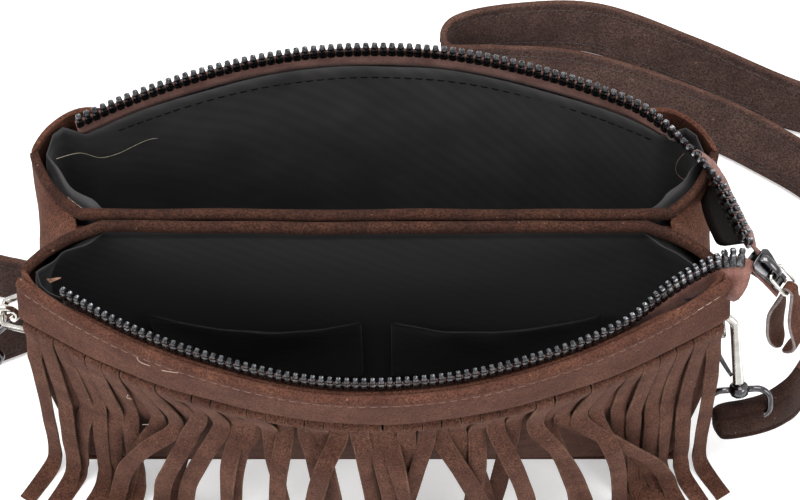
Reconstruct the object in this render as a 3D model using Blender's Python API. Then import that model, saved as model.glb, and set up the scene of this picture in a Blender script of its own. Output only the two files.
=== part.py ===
"""A fringed suede crossbody bag with two pouches and one long zip, standing open on its base.

Metres, +Z up, +X to the bag's right, +Y to its back. The origin is the centre of the base's underside.
"""

import math
import random

import bmesh
import bpy
from mathutils import Matrix, Vector

for item in list(bpy.data.objects):
    bpy.data.objects.remove(item, do_unlink=True)

# Clearance between pieces that touch on the real bag
GAP = 0.0003

# The bag's body
BAG_HEIGHT = 0.160
BASE_WIDTH = 0.240
BASE_DEPTH = 0.064
MOUTH_WIDTH = 0.241
REAR_CORNER_Y = 0.028
FRONT_CORNER_Y = 0.023
REAR_BELLY = 0.039
FRONT_BELLY = 0.043
NOTCH_DEPTH = 0.018
BASE_NOTCH_DEPTH = 0.003
NOTCH_HALF_WIDTH = 0.0023
GUSSET_CURL = 0.0035
GUSSET_DROP = 0.008
SUEDE = 0.0016
BASE_THICKNESS = 0.0020
LINING = 0.0006
LINING_DROP = 0.0098
LINING_CORNER = 0.2
LINING_EASE = 0.0008
WALL_ROWS = 8
PANEL_COLUMNS = 15
GUSSET_STEPS = 6
DIVIDER_HEIGHT = 0.157
DIVIDER_ROLL = 0.0036
DIVIDER_ROLL_HEIGHT = 0.0050
POCKET_GAP = 0.011
POCKET_WIDTH = 0.080
POCKET_TOP = 0.086
POCKET_BOTTOM = 0.022
POCKET_SAG = 0.006

# The band over the top of the fringe, and the fringe itself
BAND_HEIGHT = 0.027
BAND_OVERLAP = 0.008
FRINGE_THICKNESS = 0.0012
FRINGE_HEADER = 0.012
STRIP_COUNT = 39
STRIP_SLIT = 0.0005
STRIP_LENGTH = 0.152
STRIP_ON_PANEL = 0.024
STRIP_NARROWING = 0.84
STRIP_FAN = 0.055
FRINGE_SEED = 7

# The zip
TAPE_WIDTH = 0.0125
TAPE_THICKNESS = 0.0006
TAPE_EASE = 0.0008
TAPE_LEAN = 0.6
TAPE_ABOVE_RIM = 0.0035
START_REAR_X = -0.106
START_FRONT_X = -0.107
LEAVE_REAR_X = 0.098
LEAVE_FRONT_X = 0.087
TEETH_PER_SIDE = 88
TOOTH_THICKNESS = 0.0014
TOOTH_REACH = 0.0030
TOOTH_DEPTH = 0.0026
ZIP_MOUTH = (0.1295, -0.0165, -0.0010)
ZIP_HEADING_DEG = -35.0
ZIP_DROOP_DEG = 35.0
ZIP_TAIL = 0.0095
ZIP_END_HALF_GAP = 0.0018
FREE_TAPE_WIDTH = 0.0106
TAPE_LEAVING_EASE = 0.0009
TWIST_RUN_REAR = 0.0095
TWIST_RUN_FRONT = 0.0042
TWIST_DONE = 0.0012
TWIST_DEG = 89.0
SLIDER_LENGTH = 0.0110
SLIDER_WIDTH = 0.0090
SLIDER_PLATE = 0.0011
SLIDER_OPENING = 0.0034
BAIL_WIDTH = 0.0022
BAIL_RISE = 0.0034
BAIL_THICKNESS = 0.0010
BAIL_REACH = 0.0046
STOP_GAP = 0.0010
STOP_LENGTH = 0.0026
STOP_PLATE = 0.0009
LINK_WIRE = 0.0012
LINK_WIDTH = 0.0078
LINK_LENGTH = 0.0105
LINK_DROOP_DEG = 4.0
LINK_SEAT = 0.0023
LINK_CORNER = 0.0009
PULL_TAB_SWING_DEG = 8.0
PULL_TAB_WIDTH = 0.0125
PULL_TAB_LENGTH = 0.044
PULL_TAB_THICKNESS = 0.0013
PULL_TAB_PLAY = 0.0005

# The rings on the bag's sides and the snap hooks on the strap's ends
RING_HEIGHT = 0.078
RING_PIN_X = 0.1260
RING_INNER_WIDTH = 0.0195
RING_OUTER_WIDTH = 0.0095
RING_LENGTH = 0.0160
RING_BAR = 0.0018
RING_DEPTH = 0.0032
RING_PIN = 0.0022
RING_DROOP_LEFT_DEG = 10.0
RING_DROOP_RIGHT_DEG = 65.0
RING_TAB_WIDTH = 0.0110
RING_TAB_WALL = 0.0014
RING_TAB_PLAY = 0.0006
HOOK_WIRE = 0.0030
HOOK_CLAW_RADIUS = 0.0050
HOOK_REACH = 0.0285
HOOK_RING_PLAY = 0.0010
GATE_THICKNESS = 0.0014
GATE_WIDTH = 0.0024
COLLAR_RADIUS = 0.0032
COLLAR_BORE = 0.0014
COLLAR_LENGTH = 0.0046
POST_RADIUS = 0.0011
POST_HEAD_RADIUS = 0.0021
POST_HEAD = 0.0009
EYE_WIRE = 0.0025
EYE_WIDTH = 0.0260
EYE_LENGTH = 0.0130
EYE_CORNER = 0.0036

# The strap
STRAP_WIDTH = 0.025
STRAP_THICKNESS = 0.0030
STRAP_LOOP_PLAY = 0.0009
STRAP_LOOP_WIDTH = 0.0170
STRAP_FOLD_LENGTH = 0.0120
STRAP_STATIONS = 110


def sheet_material(name, colour, roughness, metallic=0.0):
    """A Principled material of one colour, given as red, green and blue from 0 to 1."""
    made = bpy.data.materials.get(name) or bpy.data.materials.new(name)
    made.use_nodes = True
    shader = made.node_tree.nodes["Principled BSDF"]
    shader.inputs["Base Color"].default_value = (*colour, 1.0)
    shader.inputs["Roughness"].default_value = roughness
    shader.inputs["Metallic"].default_value = metallic
    made.diffuse_color = (*colour, 1.0)
    return made


SUEDE_BROWN = sheet_material("brown_suede", (0.130, 0.060, 0.040), 0.95)
BLACK_LINING = sheet_material("black_twill_lining", (0.013, 0.012, 0.014), 0.70)
TAPE_BROWN = sheet_material("brown_zip_tape", (0.190, 0.100, 0.085), 0.75)
GUNMETAL = sheet_material("gunmetal_plating", (0.110, 0.105, 0.105), 0.30, 1.0)
NICKEL = sheet_material("nickel_plating", (0.560, 0.550, 0.530), 0.18, 1.0)


def closed_object(name, points, faces, material, smooth=False):
    """Adds one closed mesh with its faces turned outward."""
    mesh = bpy.data.meshes.new(name)
    shape = bmesh.new()
    made = [shape.verts.new(point) for point in points]
    for face in faces:
        shape.faces.new([made[corner] for corner in face])
    bmesh.ops.recalc_face_normals(shape, faces=shape.faces)
    shape.to_mesh(mesh)
    shape.free()
    if smooth:
        mesh.shade_smooth()
        mesh.set_sharp_from_angle(angle=math.radians(40))
    mesh.materials.append(material)
    made_object = bpy.data.objects.new(name, mesh)
    bpy.context.collection.objects.link(made_object)
    return made_object


def with_walls(outer_faces, count):
    """The faces of a solid whose two skins have the same faces: outer, inner and the walls on every free edge."""
    edges = {}
    for face in outer_faces:
        for start, end in zip(face, face[1:] + face[:1]):
            edges[(start, end)] = edges.get((start, end), 0) + 1
    faces = [list(face) for face in outer_faces]
    faces += [[corner + count for corner in reversed(face)] for face in outer_faces]
    for start, end in edges:
        if (end, start) not in edges:
            faces.append([end, start, start + count, end + count])
    return faces


def grid_faces(rows, columns, first=0):
    """The quads of a grid of points, row by row."""
    faces = []
    for row in range(rows - 1):
        for column in range(columns - 1):
            corner = first + row * columns + column
            faces.append([corner, corner + 1, corner + columns + 1, corner + columns])
    return faces


def slab(name, outer_rows, inner_rows, material):
    """A sheet of some thickness between two grids of points of the same size."""
    outer = [point for row in outer_rows for point in row]
    inner = [point for row in inner_rows for point in row]
    faces = with_walls(grid_faces(len(outer_rows), len(outer_rows[0])), len(outer))
    return closed_object(name, outer + inner, faces, material, smooth=True)


def tube_faces(rings, sides, first=0, closed=False):
    """The quads round a tube, with its two end caps unless it closes on itself."""
    faces = []
    for ring in range(rings if closed else rings - 1):
        for side in range(sides):
            here = first + ring * sides
            there = first + (ring + 1) % rings * sides
            beside = (side + 1) % sides
            faces.append([here + side, here + beside, there + beside, there + side])
    if not closed:
        faces.append([first + side for side in range(sides)])
        faces.append([first + (rings - 1) * sides + side for side in reversed(range(sides))])
    return faces


def swept(name, path, widths, side_of, material, sides=8, closed=False):
    """A round or flat bar along a path: widths are its two diameters, side_of gives its first direction."""
    points = []
    for index, place in enumerate(path):
        after = path[(index + 1) % len(path)] if closed or index + 1 < len(path) else place
        before = path[index - 1] if closed or index > 0 else place
        along = (after - before).normalized()
        side = side_of(index)
        side = (side - along * side.dot(along)).normalized()
        up = along.cross(side)
        for step in range(sides):
            angle = 2 * math.pi * (step + 0.5) / sides
            reach = 1.0 / max(abs(math.cos(angle)), abs(math.sin(angle))) if sides == 4 else 1.0
            points.append(
                place
                + side * (math.cos(angle) * reach * widths[0] / 2)
                + up * (math.sin(angle) * reach * widths[1] / 2)
            )
    return closed_object(
        name, points, tube_faces(len(path), sides, closed=closed), material, smooth=sides > 4
    )


def inset(points, distance):
    """An open 2D line moved to its left by a distance, with mitred corners."""
    moved = []
    for index, point in enumerate(points):
        before = (point - points[index - 1]).normalized() if index else None
        after = (points[index + 1] - point).normalized() if index + 1 < len(points) else None
        before = before or after
        after = after or before
        normal = Vector((-before.y - after.y, before.x + after.x)).normalized()
        moved.append(point + normal * distance / max(0.5, normal.dot(Vector((-before.y, before.x)))))
    return moved


def curved(stops, steps):
    """Points at even lengths along a smooth curve through the stops."""
    fine = []
    for index in range(len(stops) - 1):
        first = stops[max(index - 1, 0)]
        second, third = stops[index], stops[index + 1]
        fourth = stops[min(index + 2, len(stops) - 1)]
        for step in range(16):
            t = step / 16
            fine.append(
                0.5 * (
                    2 * second
                    + (third - first) * t
                    + (2 * first - 5 * second + 4 * third - fourth) * t * t
                    + (3 * second - first - 3 * third + fourth) * t * t * t
                )
            )
    fine.append(stops[-1].copy())
    return evenly(fine, steps)


def evenly(line, steps):
    """Points at even lengths along a line of straight pieces."""
    total = sum((b - a).length for a, b in zip(line, line[1:]))
    placed, walked, index = [], 0.0, 0
    for step in range(steps):
        wanted = total * step / (steps - 1)
        while index < len(line) - 2 and walked + (line[index + 1] - line[index]).length < wanted:
            walked += (line[index + 1] - line[index]).length
            index += 1
        span = (line[index + 1] - line[index]).length
        share = min(1.0, (wanted - walked) / span) if span else 0.0
        placed.append(line[index].lerp(line[index + 1], share))
    return placed


# The outline of the body at any height: side is 1 for the rear pouch and -1 for the front one


def rise(z):
    return z / BAG_HEIGHT


def half_width(z):
    return (BASE_WIDTH + (MOUTH_WIDTH - BASE_WIDTH) * rise(z)) / 2


def corner_y(z, side):
    rim = REAR_CORNER_Y if side > 0 else FRONT_CORNER_Y
    return BASE_DEPTH / 2 + (rim - BASE_DEPTH / 2) * rise(z)


def belly(z):
    """How far the panel's middle stands out at a height, as a share of its reach at the rim."""
    full = math.radians(100)
    return math.sin(full * min(rise(z), 1.0)) / math.sin(full)


def panel_y(x, z, side):
    """How far the outer face of a panel is from the middle plane."""
    reach = REAR_BELLY if side > 0 else FRONT_BELLY
    return corner_y(z, side) + reach * belly(z) * (1 - (x / half_width(z)) ** 2)


def panel_line(z, side, columns=PANEL_COLUMNS, margin=0.0):
    """The panel's outer face at a height, left to right seen from the side it faces away from."""
    limit = half_width(z) - margin
    across = [limit * (2 * column / (columns - 1) - 1) for column in range(columns)]
    line = [Vector((x, side * panel_y(x, z, side))) for x in across]
    return line if side < 0 else line[::-1]


def notch_x(z):
    return half_width(z) - BASE_NOTCH_DEPTH - (NOTCH_DEPTH - BASE_NOTCH_DEPTH) * rise(z) ** 1.2


def gusset_half(z, side, steps):
    """The gusset's outer face on the right, from a panel's corner in to the notch."""
    start_y = corner_y(z, side) - 1.35 * (SUEDE + GAP)
    first = Vector((half_width(z), side * start_y))
    bend = Vector((half_width(z) - GUSSET_CURL, side * start_y * 0.45))
    last = Vector((notch_x(z), side * NOTCH_HALF_WIDTH))
    line = []
    for step in range(steps):
        t = step / (steps - 1)
        line.append(first * (1 - t) ** 2 + bend * (2 * t * (1 - t)) + last * t * t)
    return line


def gusset_line(z):
    """The whole outer face of the right gusset, front corner to rear corner."""
    return gusset_half(z, -1, GUSSET_STEPS) + gusset_half(z, 1, GUSSET_STEPS)[::-1]


def levels_to(top):
    """The heights at which every wall has a row of points, up to its own top edge."""
    bottom = BASE_THICKNESS + GAP
    shared = [bottom + (BAG_HEIGHT - bottom) * step / (WALL_ROWS - 1) for step in range(WALL_ROWS)]
    return [z for z in shared if z < top - 0.002] + [top]


def at_height(line, z):
    return [Vector((point.x, point.y, z)) for point in line]


def mirrored(rows):
    return [[Vector((-point.x, point.y, point.z)) for point in row] for row in rows]


def base_panel():
    """The bottom of both pouches: one flat piece with the outline that the walls stand on."""
    front = panel_line(0.0, -1, 5)
    right = gusset_half(0.0, -1, 4) + gusset_half(0.0, 1, 4)[::-1]
    rear = panel_line(0.0, 1, 5)
    left = [Vector((-point.x, point.y)) for point in right[::-1]]
    outline = front + right + rear + left
    count = len(outline)
    points = at_height(outline, 0.0) + at_height(outline, BASE_THICKNESS)
    faces = [list(range(count))[::-1], list(range(count, 2 * count))]
    for index in range(count):
        beside = (index + 1) % count
        faces.append([index, beside, beside + count, index + count])
    closed_object("base_panel", points, faces, SUEDE_BROWN)


def outer_panel(name, side):
    """A suede panel from the base to the rim, curved out like the open mouth."""
    outer, inner = [], []
    for z in levels_to(BAG_HEIGHT):
        line = panel_line(z, side)
        outer.append(at_height(line, z))
        inner.append(at_height(inset(line, SUEDE), z))
    slab(name, outer, inner, SUEDE_BROWN)


def side_gussets():
    """One folded strip a side, which runs into the notch between the pouches and out again."""
    outer, inner = [], []
    for z in levels_to(BAG_HEIGHT - GUSSET_DROP):
        line = gusset_line(z)
        outer.append(at_height(line, z))
        inner.append(at_height(inset(line, SUEDE), z))
    slab("side_gusset_right", outer, inner, SUEDE_BROWN)
    slab("side_gusset_left", mirrored(outer), mirrored(inner), SUEDE_BROWN)


def divider_wall(name, side):
    """One of the two suede walls between the pouches, with its top edge rolled over the lining."""
    bottom = BASE_THICKNESS + GAP
    neck = DIVIDER_HEIGHT - DIVIDER_ROLL_HEIGHT
    profile = [
        (GAP / 2, bottom),
        (GAP / 2 + SUEDE, bottom),
        (GAP / 2 + SUEDE, neck),
        (GAP / 2 + DIVIDER_ROLL, neck + 0.0010),
        (GAP / 2 + DIVIDER_ROLL, DIVIDER_HEIGHT - 0.0014),
        (GAP / 2 + DIVIDER_ROLL * 0.66, DIVIDER_HEIGHT),
        (GAP / 2 + DIVIDER_ROLL * 0.33, DIVIDER_HEIGHT),
        (GAP / 2, DIVIDER_HEIGHT - 0.0012),
    ]
    stations = 7
    points = []
    for station in range(stations):
        share = 2 * station / (stations - 1) - 1
        for y, z in profile:
            end = notch_x(z) - SUEDE - GAP
            points.append(Vector((share * end, side * y, z)))
    closed_object(name, points, tube_faces(stations, len(profile)), SUEDE_BROWN)


def pouch_outline(z, side, extra):
    """The closed line inside a pouch's suede and tape at a height, moved in by a further amount."""
    behind_tape = SUEDE + GAP + TAPE_THICKNESS + TAPE_EASE + extra
    beside_gusset = SUEDE + LINING_EASE + extra
    line = panel_line(z, side)
    line[0] = line[0].lerp(line[1], LINING_CORNER)
    line[-1] = line[-1].lerp(line[-2], LINING_CORNER)
    panel = inset(line, behind_tape)
    whole = inset(gusset_line(z), beside_gusset)
    right = whole[1:GUSSET_STEPS] if side < 0 else whole[GUSSET_STEPS:-1][::-1]
    wall_y = side * (GAP / 2 + SUEDE + GAP + extra)
    right.append(Vector((notch_x(z) - beside_gusset - 0.0006, wall_y)))
    left = [Vector((-point.x, point.y)) for point in right]
    if side < 0:
        return panel + right + left[::-1]
    return panel + left + right[::-1]


def pouch_lining(name, side):
    """The thin black bag inside a pouch, open at the top and closed at the base."""
    levels = levels_to(BAG_HEIGHT - LINING_DROP)
    floor = levels[0] + LINING
    outer = [at_height(pouch_outline(z, side, 0.0), z) for z in levels]
    inner = [
        at_height(pouch_outline(max(z, floor), side, LINING), max(z, floor)) for z in levels
    ]
    count = len(outer[0])
    rings = len(levels)
    points = [point for ring in outer + inner[::-1] for point in ring]
    closed_object(name, points, tube_faces(2 * rings, count), BLACK_LINING, smooth=True)


def slip_pockets():
    """Two flat pockets sewn on the divider side of the front pouch's lining."""
    near = -(GAP / 2 + SUEDE + GAP + LINING + GAP)
    far = near - LINING
    for name, centre in (
        ("slip_pocket_left", -(POCKET_GAP + POCKET_WIDTH) / 2),
        ("slip_pocket_right", (POCKET_GAP + POCKET_WIDTH) / 2),
    ):
        outer, inner = [], []
        for row in range(3):
            across = [centre + POCKET_WIDTH * (step / 6 - 0.5) for step in range(7)]
            tops = [POCKET_TOP - POCKET_SAG * ((x - centre) / POCKET_WIDTH * 2) ** 2 for x in across]
            place = [POCKET_BOTTOM + (top - POCKET_BOTTOM) * row / 2 for top in tops]
            outer.append([Vector((x, far, z)) for x, z in zip(across, place)])
            inner.append([Vector((x, near, z)) for x, z in zip(across, place)])
        slab(name, outer, inner, BLACK_LINING)


def front_band():
    """The smooth suede band on the front, which covers the top of the fringe."""
    low = BAG_HEIGHT - BAND_HEIGHT
    over_fringe = low + BAND_OVERLAP + GAP
    levels = [
        (low, GAP + FRINGE_THICKNESS + GAP),
        (over_fringe, GAP + FRINGE_THICKNESS + GAP),
        (over_fringe + 0.004, GAP),
        (BAG_HEIGHT, GAP),
    ]
    outer, inner = [], []
    for z, out in levels:
        line = panel_line(z, -1)
        outer.append(at_height(inset(line, -out - SUEDE), z))
        inner.append(at_height(inset(line, -out), z))
    slab("front_band", outer, inner, SUEDE_BROWN)


def strip_path(root, rng):
    """Where a strip goes: (out, aside, height) from its root, down the panel, over a kink and to the floor."""
    x, z = root
    on_panel = STRIP_ON_PANEL * rng.uniform(0.85, 1.25)
    kink = math.radians(rng.uniform(16, 34))
    kicked = rng.uniform(0.020, 0.030)
    aside = x * STRIP_FAN + rng.uniform(-0.0003, 0.0003)
    here = panel_y(x, z, -1)
    kink_z = z - on_panel
    kink_out = panel_y(x, kink_z, -1) - here + 0.0006
    kicked_out = kink_out + kicked * math.sin(kink)
    kicked_z = kink_z - kicked * math.cos(kink)
    floor_z = FRINGE_THICKNESS / 2 + 0.0004
    used = on_panel + kicked + (kicked_z - floor_z)
    lying = max(0.004, STRIP_LENGTH - used)
    return [
        (0.0, 0.0, z),
        ((kink_out + 0.0004) / 2, aside * 0.10, z - on_panel / 2),
        (kink_out, aside * 0.25, kink_z),
        (kicked_out, aside * 0.60, kicked_z),
        (kicked_out + 0.002, aside * 0.85, kicked_z * 0.55),
        (kicked_out + 0.003, aside, floor_z + 0.010),
        (kicked_out + 0.006, aside, floor_z),
        (kicked_out + 0.004 + lying, aside, floor_z),
    ]


def fringe():
    """One sheet of suede under the band, cut from its seam down into narrow strips."""
    rng = random.Random(FRINGE_SEED)
    seam = BAG_HEIGHT - BAND_HEIGHT
    root_z = seam - FRINGE_HEADER + BAND_OVERLAP
    tops = [seam + BAND_OVERLAP, root_z]
    margin = 0.003
    columns = evenly(panel_line(root_z, -1, 41, margin), STRIP_COUNT + 1)
    edges = []
    for left, right in zip(columns, columns[1:]):
        slit = (right - left).normalized() * STRIP_SLIT / 2
        edges += [left + slit, right - slit]
    outer, inner, faces = [], [], []
    for z in tops:
        row = [Vector((edge.x, -panel_y(edge.x, z, -1))) for edge in edges]
        outer += at_height(inset(row, -GAP - FRINGE_THICKNESS), z)
        inner += at_height(inset(row, -GAP), z)
    faces += grid_faces(2, len(edges))
    for strip in range(STRIP_COUNT):
        left, right = edges[2 * strip], edges[2 * strip + 1]
        middle = (left + right) / 2
        along = (right - left).normalized()
        out = Vector((along.y, -along.x))
        width = (right - left).length
        path = strip_path((middle.x, root_z), rng)
        previous = [len(edges) + 2 * strip, len(edges) + 2 * strip + 1]
        for index in range(1, len(path)):
            away, aside, z = path[index]
            last = path[index - 1]
            following = path[min(index + 1, len(path) - 1)]
            step = Vector((following[0] - last[0], following[2] - last[2])).normalized()
            lift = Vector((-step.y, step.x))
            narrow = width * (1 - (1 - STRIP_NARROWING) * min(1.0, index / 3))
            base = middle + out * (away + GAP + FRINGE_THICKNESS / 2)
            centre = Vector((base.x + aside, base.y, z))
            half = Vector((along.x, along.y, 0.0)) * narrow / 2
            face_out = Vector((out.x * lift.x, out.y * lift.x, lift.y)) * FRINGE_THICKNESS / 2
            for end in (centre - half, centre + half):
                outer.append(end + face_out)
                inner.append(end - face_out)
            current = [len(outer) - 2, len(outer) - 1]
            faces.append([previous[0], previous[1], current[1], current[0]])
            previous = current
    closed_object("fringe", outer + inner, with_walls(faces, len(outer)), SUEDE_BROWN)


def slider_frame():
    """The slider's own place and axes: along the closed chain, across it, and up out of its top plate."""
    mouth = Vector((ZIP_MOUTH[0], ZIP_MOUTH[1], BAG_HEIGHT + TAPE_ABOVE_RIM + ZIP_MOUTH[2]))
    turn = Matrix.Rotation(math.radians(ZIP_HEADING_DEG), 4, "Z") @ Matrix.Rotation(
        math.radians(ZIP_DROOP_DEG), 4, "Y"
    )
    return Matrix.Translation(mouth) @ turn @ Matrix.Translation((SLIDER_LENGTH / 2, 0, 0))


def zip_edge(side):
    """The toothed edge of one tape: along the inside of its rim, then free to the slider."""
    level = BAG_HEIGHT + TAPE_ABOVE_RIM
    start_x, leave_x = (START_REAR_X, LEAVE_REAR_X) if side > 0 else (START_FRONT_X, LEAVE_FRONT_X)
    inward = SUEDE + 2 * GAP + TAPE_THICKNESS / 2
    along_rim = []
    for step in range(9):
        x = start_x + (leave_x - start_x) * step / 8
        along_rim.append(Vector((x, side * panel_y(x, BAG_HEIGHT, side))))
    moved = inset(along_rim, -side * inward)
    moved[-1].y -= side * TAPE_LEAVING_EASE
    stops = [Vector((point.x, point.y, level)) for point in moved]
    if side > 0:
        free = [(0.1135, 0.0200), (0.1215, 0.0050), (0.1262, -0.0070)]
    else:
        free = [(0.0985, -0.0300), (0.1080, -0.0235), (0.1180, -0.0182), (0.1242, -0.0172)]
    stops += [Vector((x, y, level)) for x, y in free]
    frame = slider_frame()
    beside = side * ZIP_END_HALF_GAP
    for ahead in (-SLIDER_LENGTH / 2, 0.0, SLIDER_LENGTH / 2 + ZIP_TAIL / 2):
        stops.append(frame @ Vector((ahead, beside, 0)))
    return stops


def before_mouth(place):
    """How far a place is from the slider's mouth, measured along the slider."""
    return -SLIDER_LENGTH / 2 - (slider_frame().inverted() @ place).x


def tape_direction(side, along, place):
    """Which way the tape's cloth runs from its toothed edge: down at the rim, flat and outward at the slider."""
    x = place.x
    share = 0.0
    if x > LEAVE_REAR_X:
        run = TWIST_RUN_REAR if side > 0 else TWIST_RUN_FRONT
        share = min(1.0, max(0.0, 1 - (before_mouth(place) - TWIST_DONE) / run))
    turn = math.radians(TWIST_DEG) * share * share * (3 - 2 * share)
    outward = Vector((-along.y, along.x, 0.0)).normalized() * side
    leave = LEAVE_REAR_X if side > 0 else LEAVE_FRONT_X
    on_rim = min(1.0, max(0.0, (leave - x) / TAPE_WIDTH))
    lower = panel_y(x, BAG_HEIGHT - TAPE_WIDTH, side) - panel_y(x, BAG_HEIGHT, side)
    lean = on_rim * TAPE_LEAN * lower / TAPE_WIDTH
    down = Vector((0, 0, -1)) + outward * lean
    return (outward * math.sin(turn) + down * math.cos(turn)).normalized()


def tape_frame(line, side, share):
    """The tape at a share of its length: its edge, and its directions along, across and out of its cloth."""
    spot = share * (len(line) - 1)
    index = min(len(line) - 2, int(spot))
    place = line[index].lerp(line[index + 1], spot - index)
    along = (line[min(index + 2, len(line) - 1)] - line[max(index - 1, 0)]).normalized()
    across = tape_direction(side, along, place)
    return place, along, across, along.cross(across).normalized()


def zip_side(name, side):
    """One side of the zip: its woven tape, with the metal teeth that are clamped on the edge."""
    line = curved(zip_edge(side), 241)
    teeth_end = 1.0
    for index, place in enumerate(line):
        if place.x > LEAVE_REAR_X and before_mouth(place) < TOOTH_DEPTH:
            teeth_end = index / (len(line) - 1)
            break
    length = sum((b - a).length for a, b in zip(line, line[1:]))
    pitch = teeth_end / TEETH_PER_SIDE
    half_tooth = TOOTH_THICKNESS / 2 / length
    shares = [0.0]
    for tooth in range(TEETH_PER_SIDE):
        middle = (tooth + 0.5) * pitch
        shares += [middle - half_tooth, middle + half_tooth]
    shares += [teeth_end + (1 - teeth_end) * step / 3 for step in range(4)]
    leave = LEAVE_REAR_X if side > 0 else LEAVE_FRONT_X
    points, top, bottom = [], [], []
    for column, share in enumerate(shares):
        place, along, across, normal = tape_frame(line, side, share)
        top.append((len(points), len(points) + 1))
        points += [place + normal * TAPE_THICKNESS / 2, place - normal * TAPE_THICKNESS / 2]
        spacing = 2 if share > 0.62 else 6
        if column % spacing == 0 or column == len(shares) - 1:
            free = min(1.0, max(0.0, (place.x - leave + 0.006) / 0.006))
            width = TAPE_WIDTH + (FREE_TAPE_WIDTH - TAPE_WIDTH) * free
            low = place + across * width
            bottom.append((column, len(points), len(points) + 1))
            points += [low + normal * TAPE_THICKNESS / 2, low - normal * TAPE_THICKNESS / 2]
    faces = []
    for (first, a, b), (last, c, d) in zip(bottom, bottom[1:]):
        span = range(first, last + 1)
        faces.append([top[column][0] for column in span] + [c, a])
        faces.append([top[column][1] for column in reversed(span)] + [b, d])
        faces.append([a, c, d, b])
    faces.append([top[0][0], bottom[0][1], bottom[0][2], top[0][1]])
    faces.append([top[-1][1], bottom[-1][2], bottom[-1][1], top[-1][0]])
    for column in range(len(shares) - 1):
        edge = [top[column][0], top[column][1], top[column + 1][1], top[column + 1][0]]
        if column % 2 == 0 or column > 2 * TEETH_PER_SIDE:
            faces.append(edge)
            continue
        place, along, across, normal = tape_frame(line, side, (shares[column] + shares[column + 1]) / 2)
        head = len(points)
        for a, b in ((-1, 1), (-1, -1), (1, -1), (1, 1)):
            points.append(
                place
                - across * TOOTH_REACH
                + along * (a * TOOTH_THICKNESS * 0.42)
                + normal * (b * TOOTH_DEPTH / 2)
            )
        for step in range(4):
            beside = (step + 1) % 4
            faces.append([edge[step], edge[beside], head + beside, head + step])
        faces.append([head, head + 1, head + 2, head + 3])
    closed_object(name, points, faces, TAPE_BROWN)


def box_between(name, low, high, material, parts=()):
    """A block, or several separate blocks as one object, between low and high corners."""
    points, faces = [], []
    for a, b in ((low, high), *parts):
        first = len(points)
        for z in (a[2], b[2]):
            points += [Vector((a[0], a[1], z)), Vector((b[0], a[1], z))]
            points += [Vector((b[0], b[1], z)), Vector((a[0], b[1], z))]
        faces += tube_faces(2, 4, first)
    return closed_object(name, points, faces, material)


def joined(target, others):
    """Unites solids that touch into the first one."""
    for other in others:
        cut = target.modifiers.new("join_" + other.name, "BOOLEAN")
        cut.operation = "UNION"
        cut.solver = "EXACT"
        cut.object = other
        other.hide_render = True
        other.display_type = "WIRE"


def slider():
    """The zip's slider: two plates joined by a post between the tapes, with a bail on top."""
    long, wide = SLIDER_LENGTH / 2, SLIDER_WIDTH / 2
    half = SLIDER_OPENING / 2
    body = box_between(
        "slider", (-long, -wide, half), (long, wide, half + SLIDER_PLATE), GUNMETAL
    )
    under = box_between(
        "slider_lower_plate", (-long, -wide, -half - SLIDER_PLATE), (long, wide, -half), GUNMETAL
    )
    post_half = ZIP_END_HALF_GAP - TAPE_THICKNESS / 2 - GAP
    post = box_between(
        "slider_post",
        (-long + 0.0004, -post_half, -half - SLIDER_PLATE / 2),
        (-long + 0.0030, post_half, half + SLIDER_PLATE / 2),
        GUNMETAL,
    )
    top = half + SLIDER_PLATE
    sunk = 0.0004
    arch = []
    for step in range(9):
        angle = math.pi * step / 8
        height = (BAIL_RISE + sunk - BAIL_THICKNESS / 2) * math.sin(angle) ** 0.6
        arch.append(Vector((-BAIL_REACH * math.cos(angle), 0, top - sunk + height)))
    bail = swept(
        "slider_bail",
        arch,
        (BAIL_WIDTH, BAIL_THICKNESS),
        lambda index: Vector((0, 1, 0)),
        GUNMETAL,
        sides=4,
    )
    joined(body, [under, post, bail])
    for piece in (body, under, post, bail):
        piece.matrix_world = slider_frame()


def zip_bottom_stop():
    """The small metal clamp that ends the chain past the slider."""
    left = SLIDER_LENGTH / 2 + STOP_GAP
    half = TAPE_THICKNESS / 2 + GAP
    reach = ZIP_END_HALF_GAP + 0.0016
    upper = box_between(
        "zip_bottom_stop",
        (left, -reach, half),
        (left + STOP_LENGTH, reach, half + STOP_PLATE),
        GUNMETAL,
    )
    lower = box_between(
        "stop_under", (left, -reach, -half - STOP_PLATE), (left + STOP_LENGTH, reach, -half), GUNMETAL
    )
    web_half = ZIP_END_HALF_GAP - TAPE_THICKNESS / 2 - GAP
    web = box_between(
        "stop_web",
        (left + 0.0004, -web_half, -half - STOP_PLATE / 2),
        (left + STOP_LENGTH - 0.0004, web_half, half + STOP_PLATE / 2),
        GUNMETAL,
    )
    joined(upper, [lower, web])
    for piece in (upper, lower, web):
        piece.matrix_world = slider_frame()


def link_pin():
    """The axis on which the pull's link swings under the bail, in the slider's own axes."""
    top = SLIDER_OPENING / 2 + SLIDER_PLATE
    return Vector((LINK_SEAT, 0, top + LINK_WIRE / 2 + GAP))


def oblong(half_width_, length, corner, per_corner=3):
    """A rounded rectangle in the XZ plane, from the pin at the origin down to -length."""
    points = []
    for cx, cz, start in (
        (half_width_ - corner, -corner, 0),
        (-half_width_ + corner, -corner, 90),
        (-half_width_ + corner, -length + corner, 180),
        (half_width_ - corner, -length + corner, 270),
    ):
        for step in range(per_corner + 1):
            angle = math.radians(start + 90 * step / per_corner)
            points.append(Vector((cx + corner * math.cos(angle), 0, cz + corner * math.sin(angle))))
    return points


def link_frame():
    """The link's own axes: its pin along Y, with the link hanging down its own Z."""
    droop = math.radians(90 - LINK_DROOP_DEG)
    return slider_frame() @ Matrix.Translation(link_pin()) @ Matrix.Rotation(-droop, 4, "Y")


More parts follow.
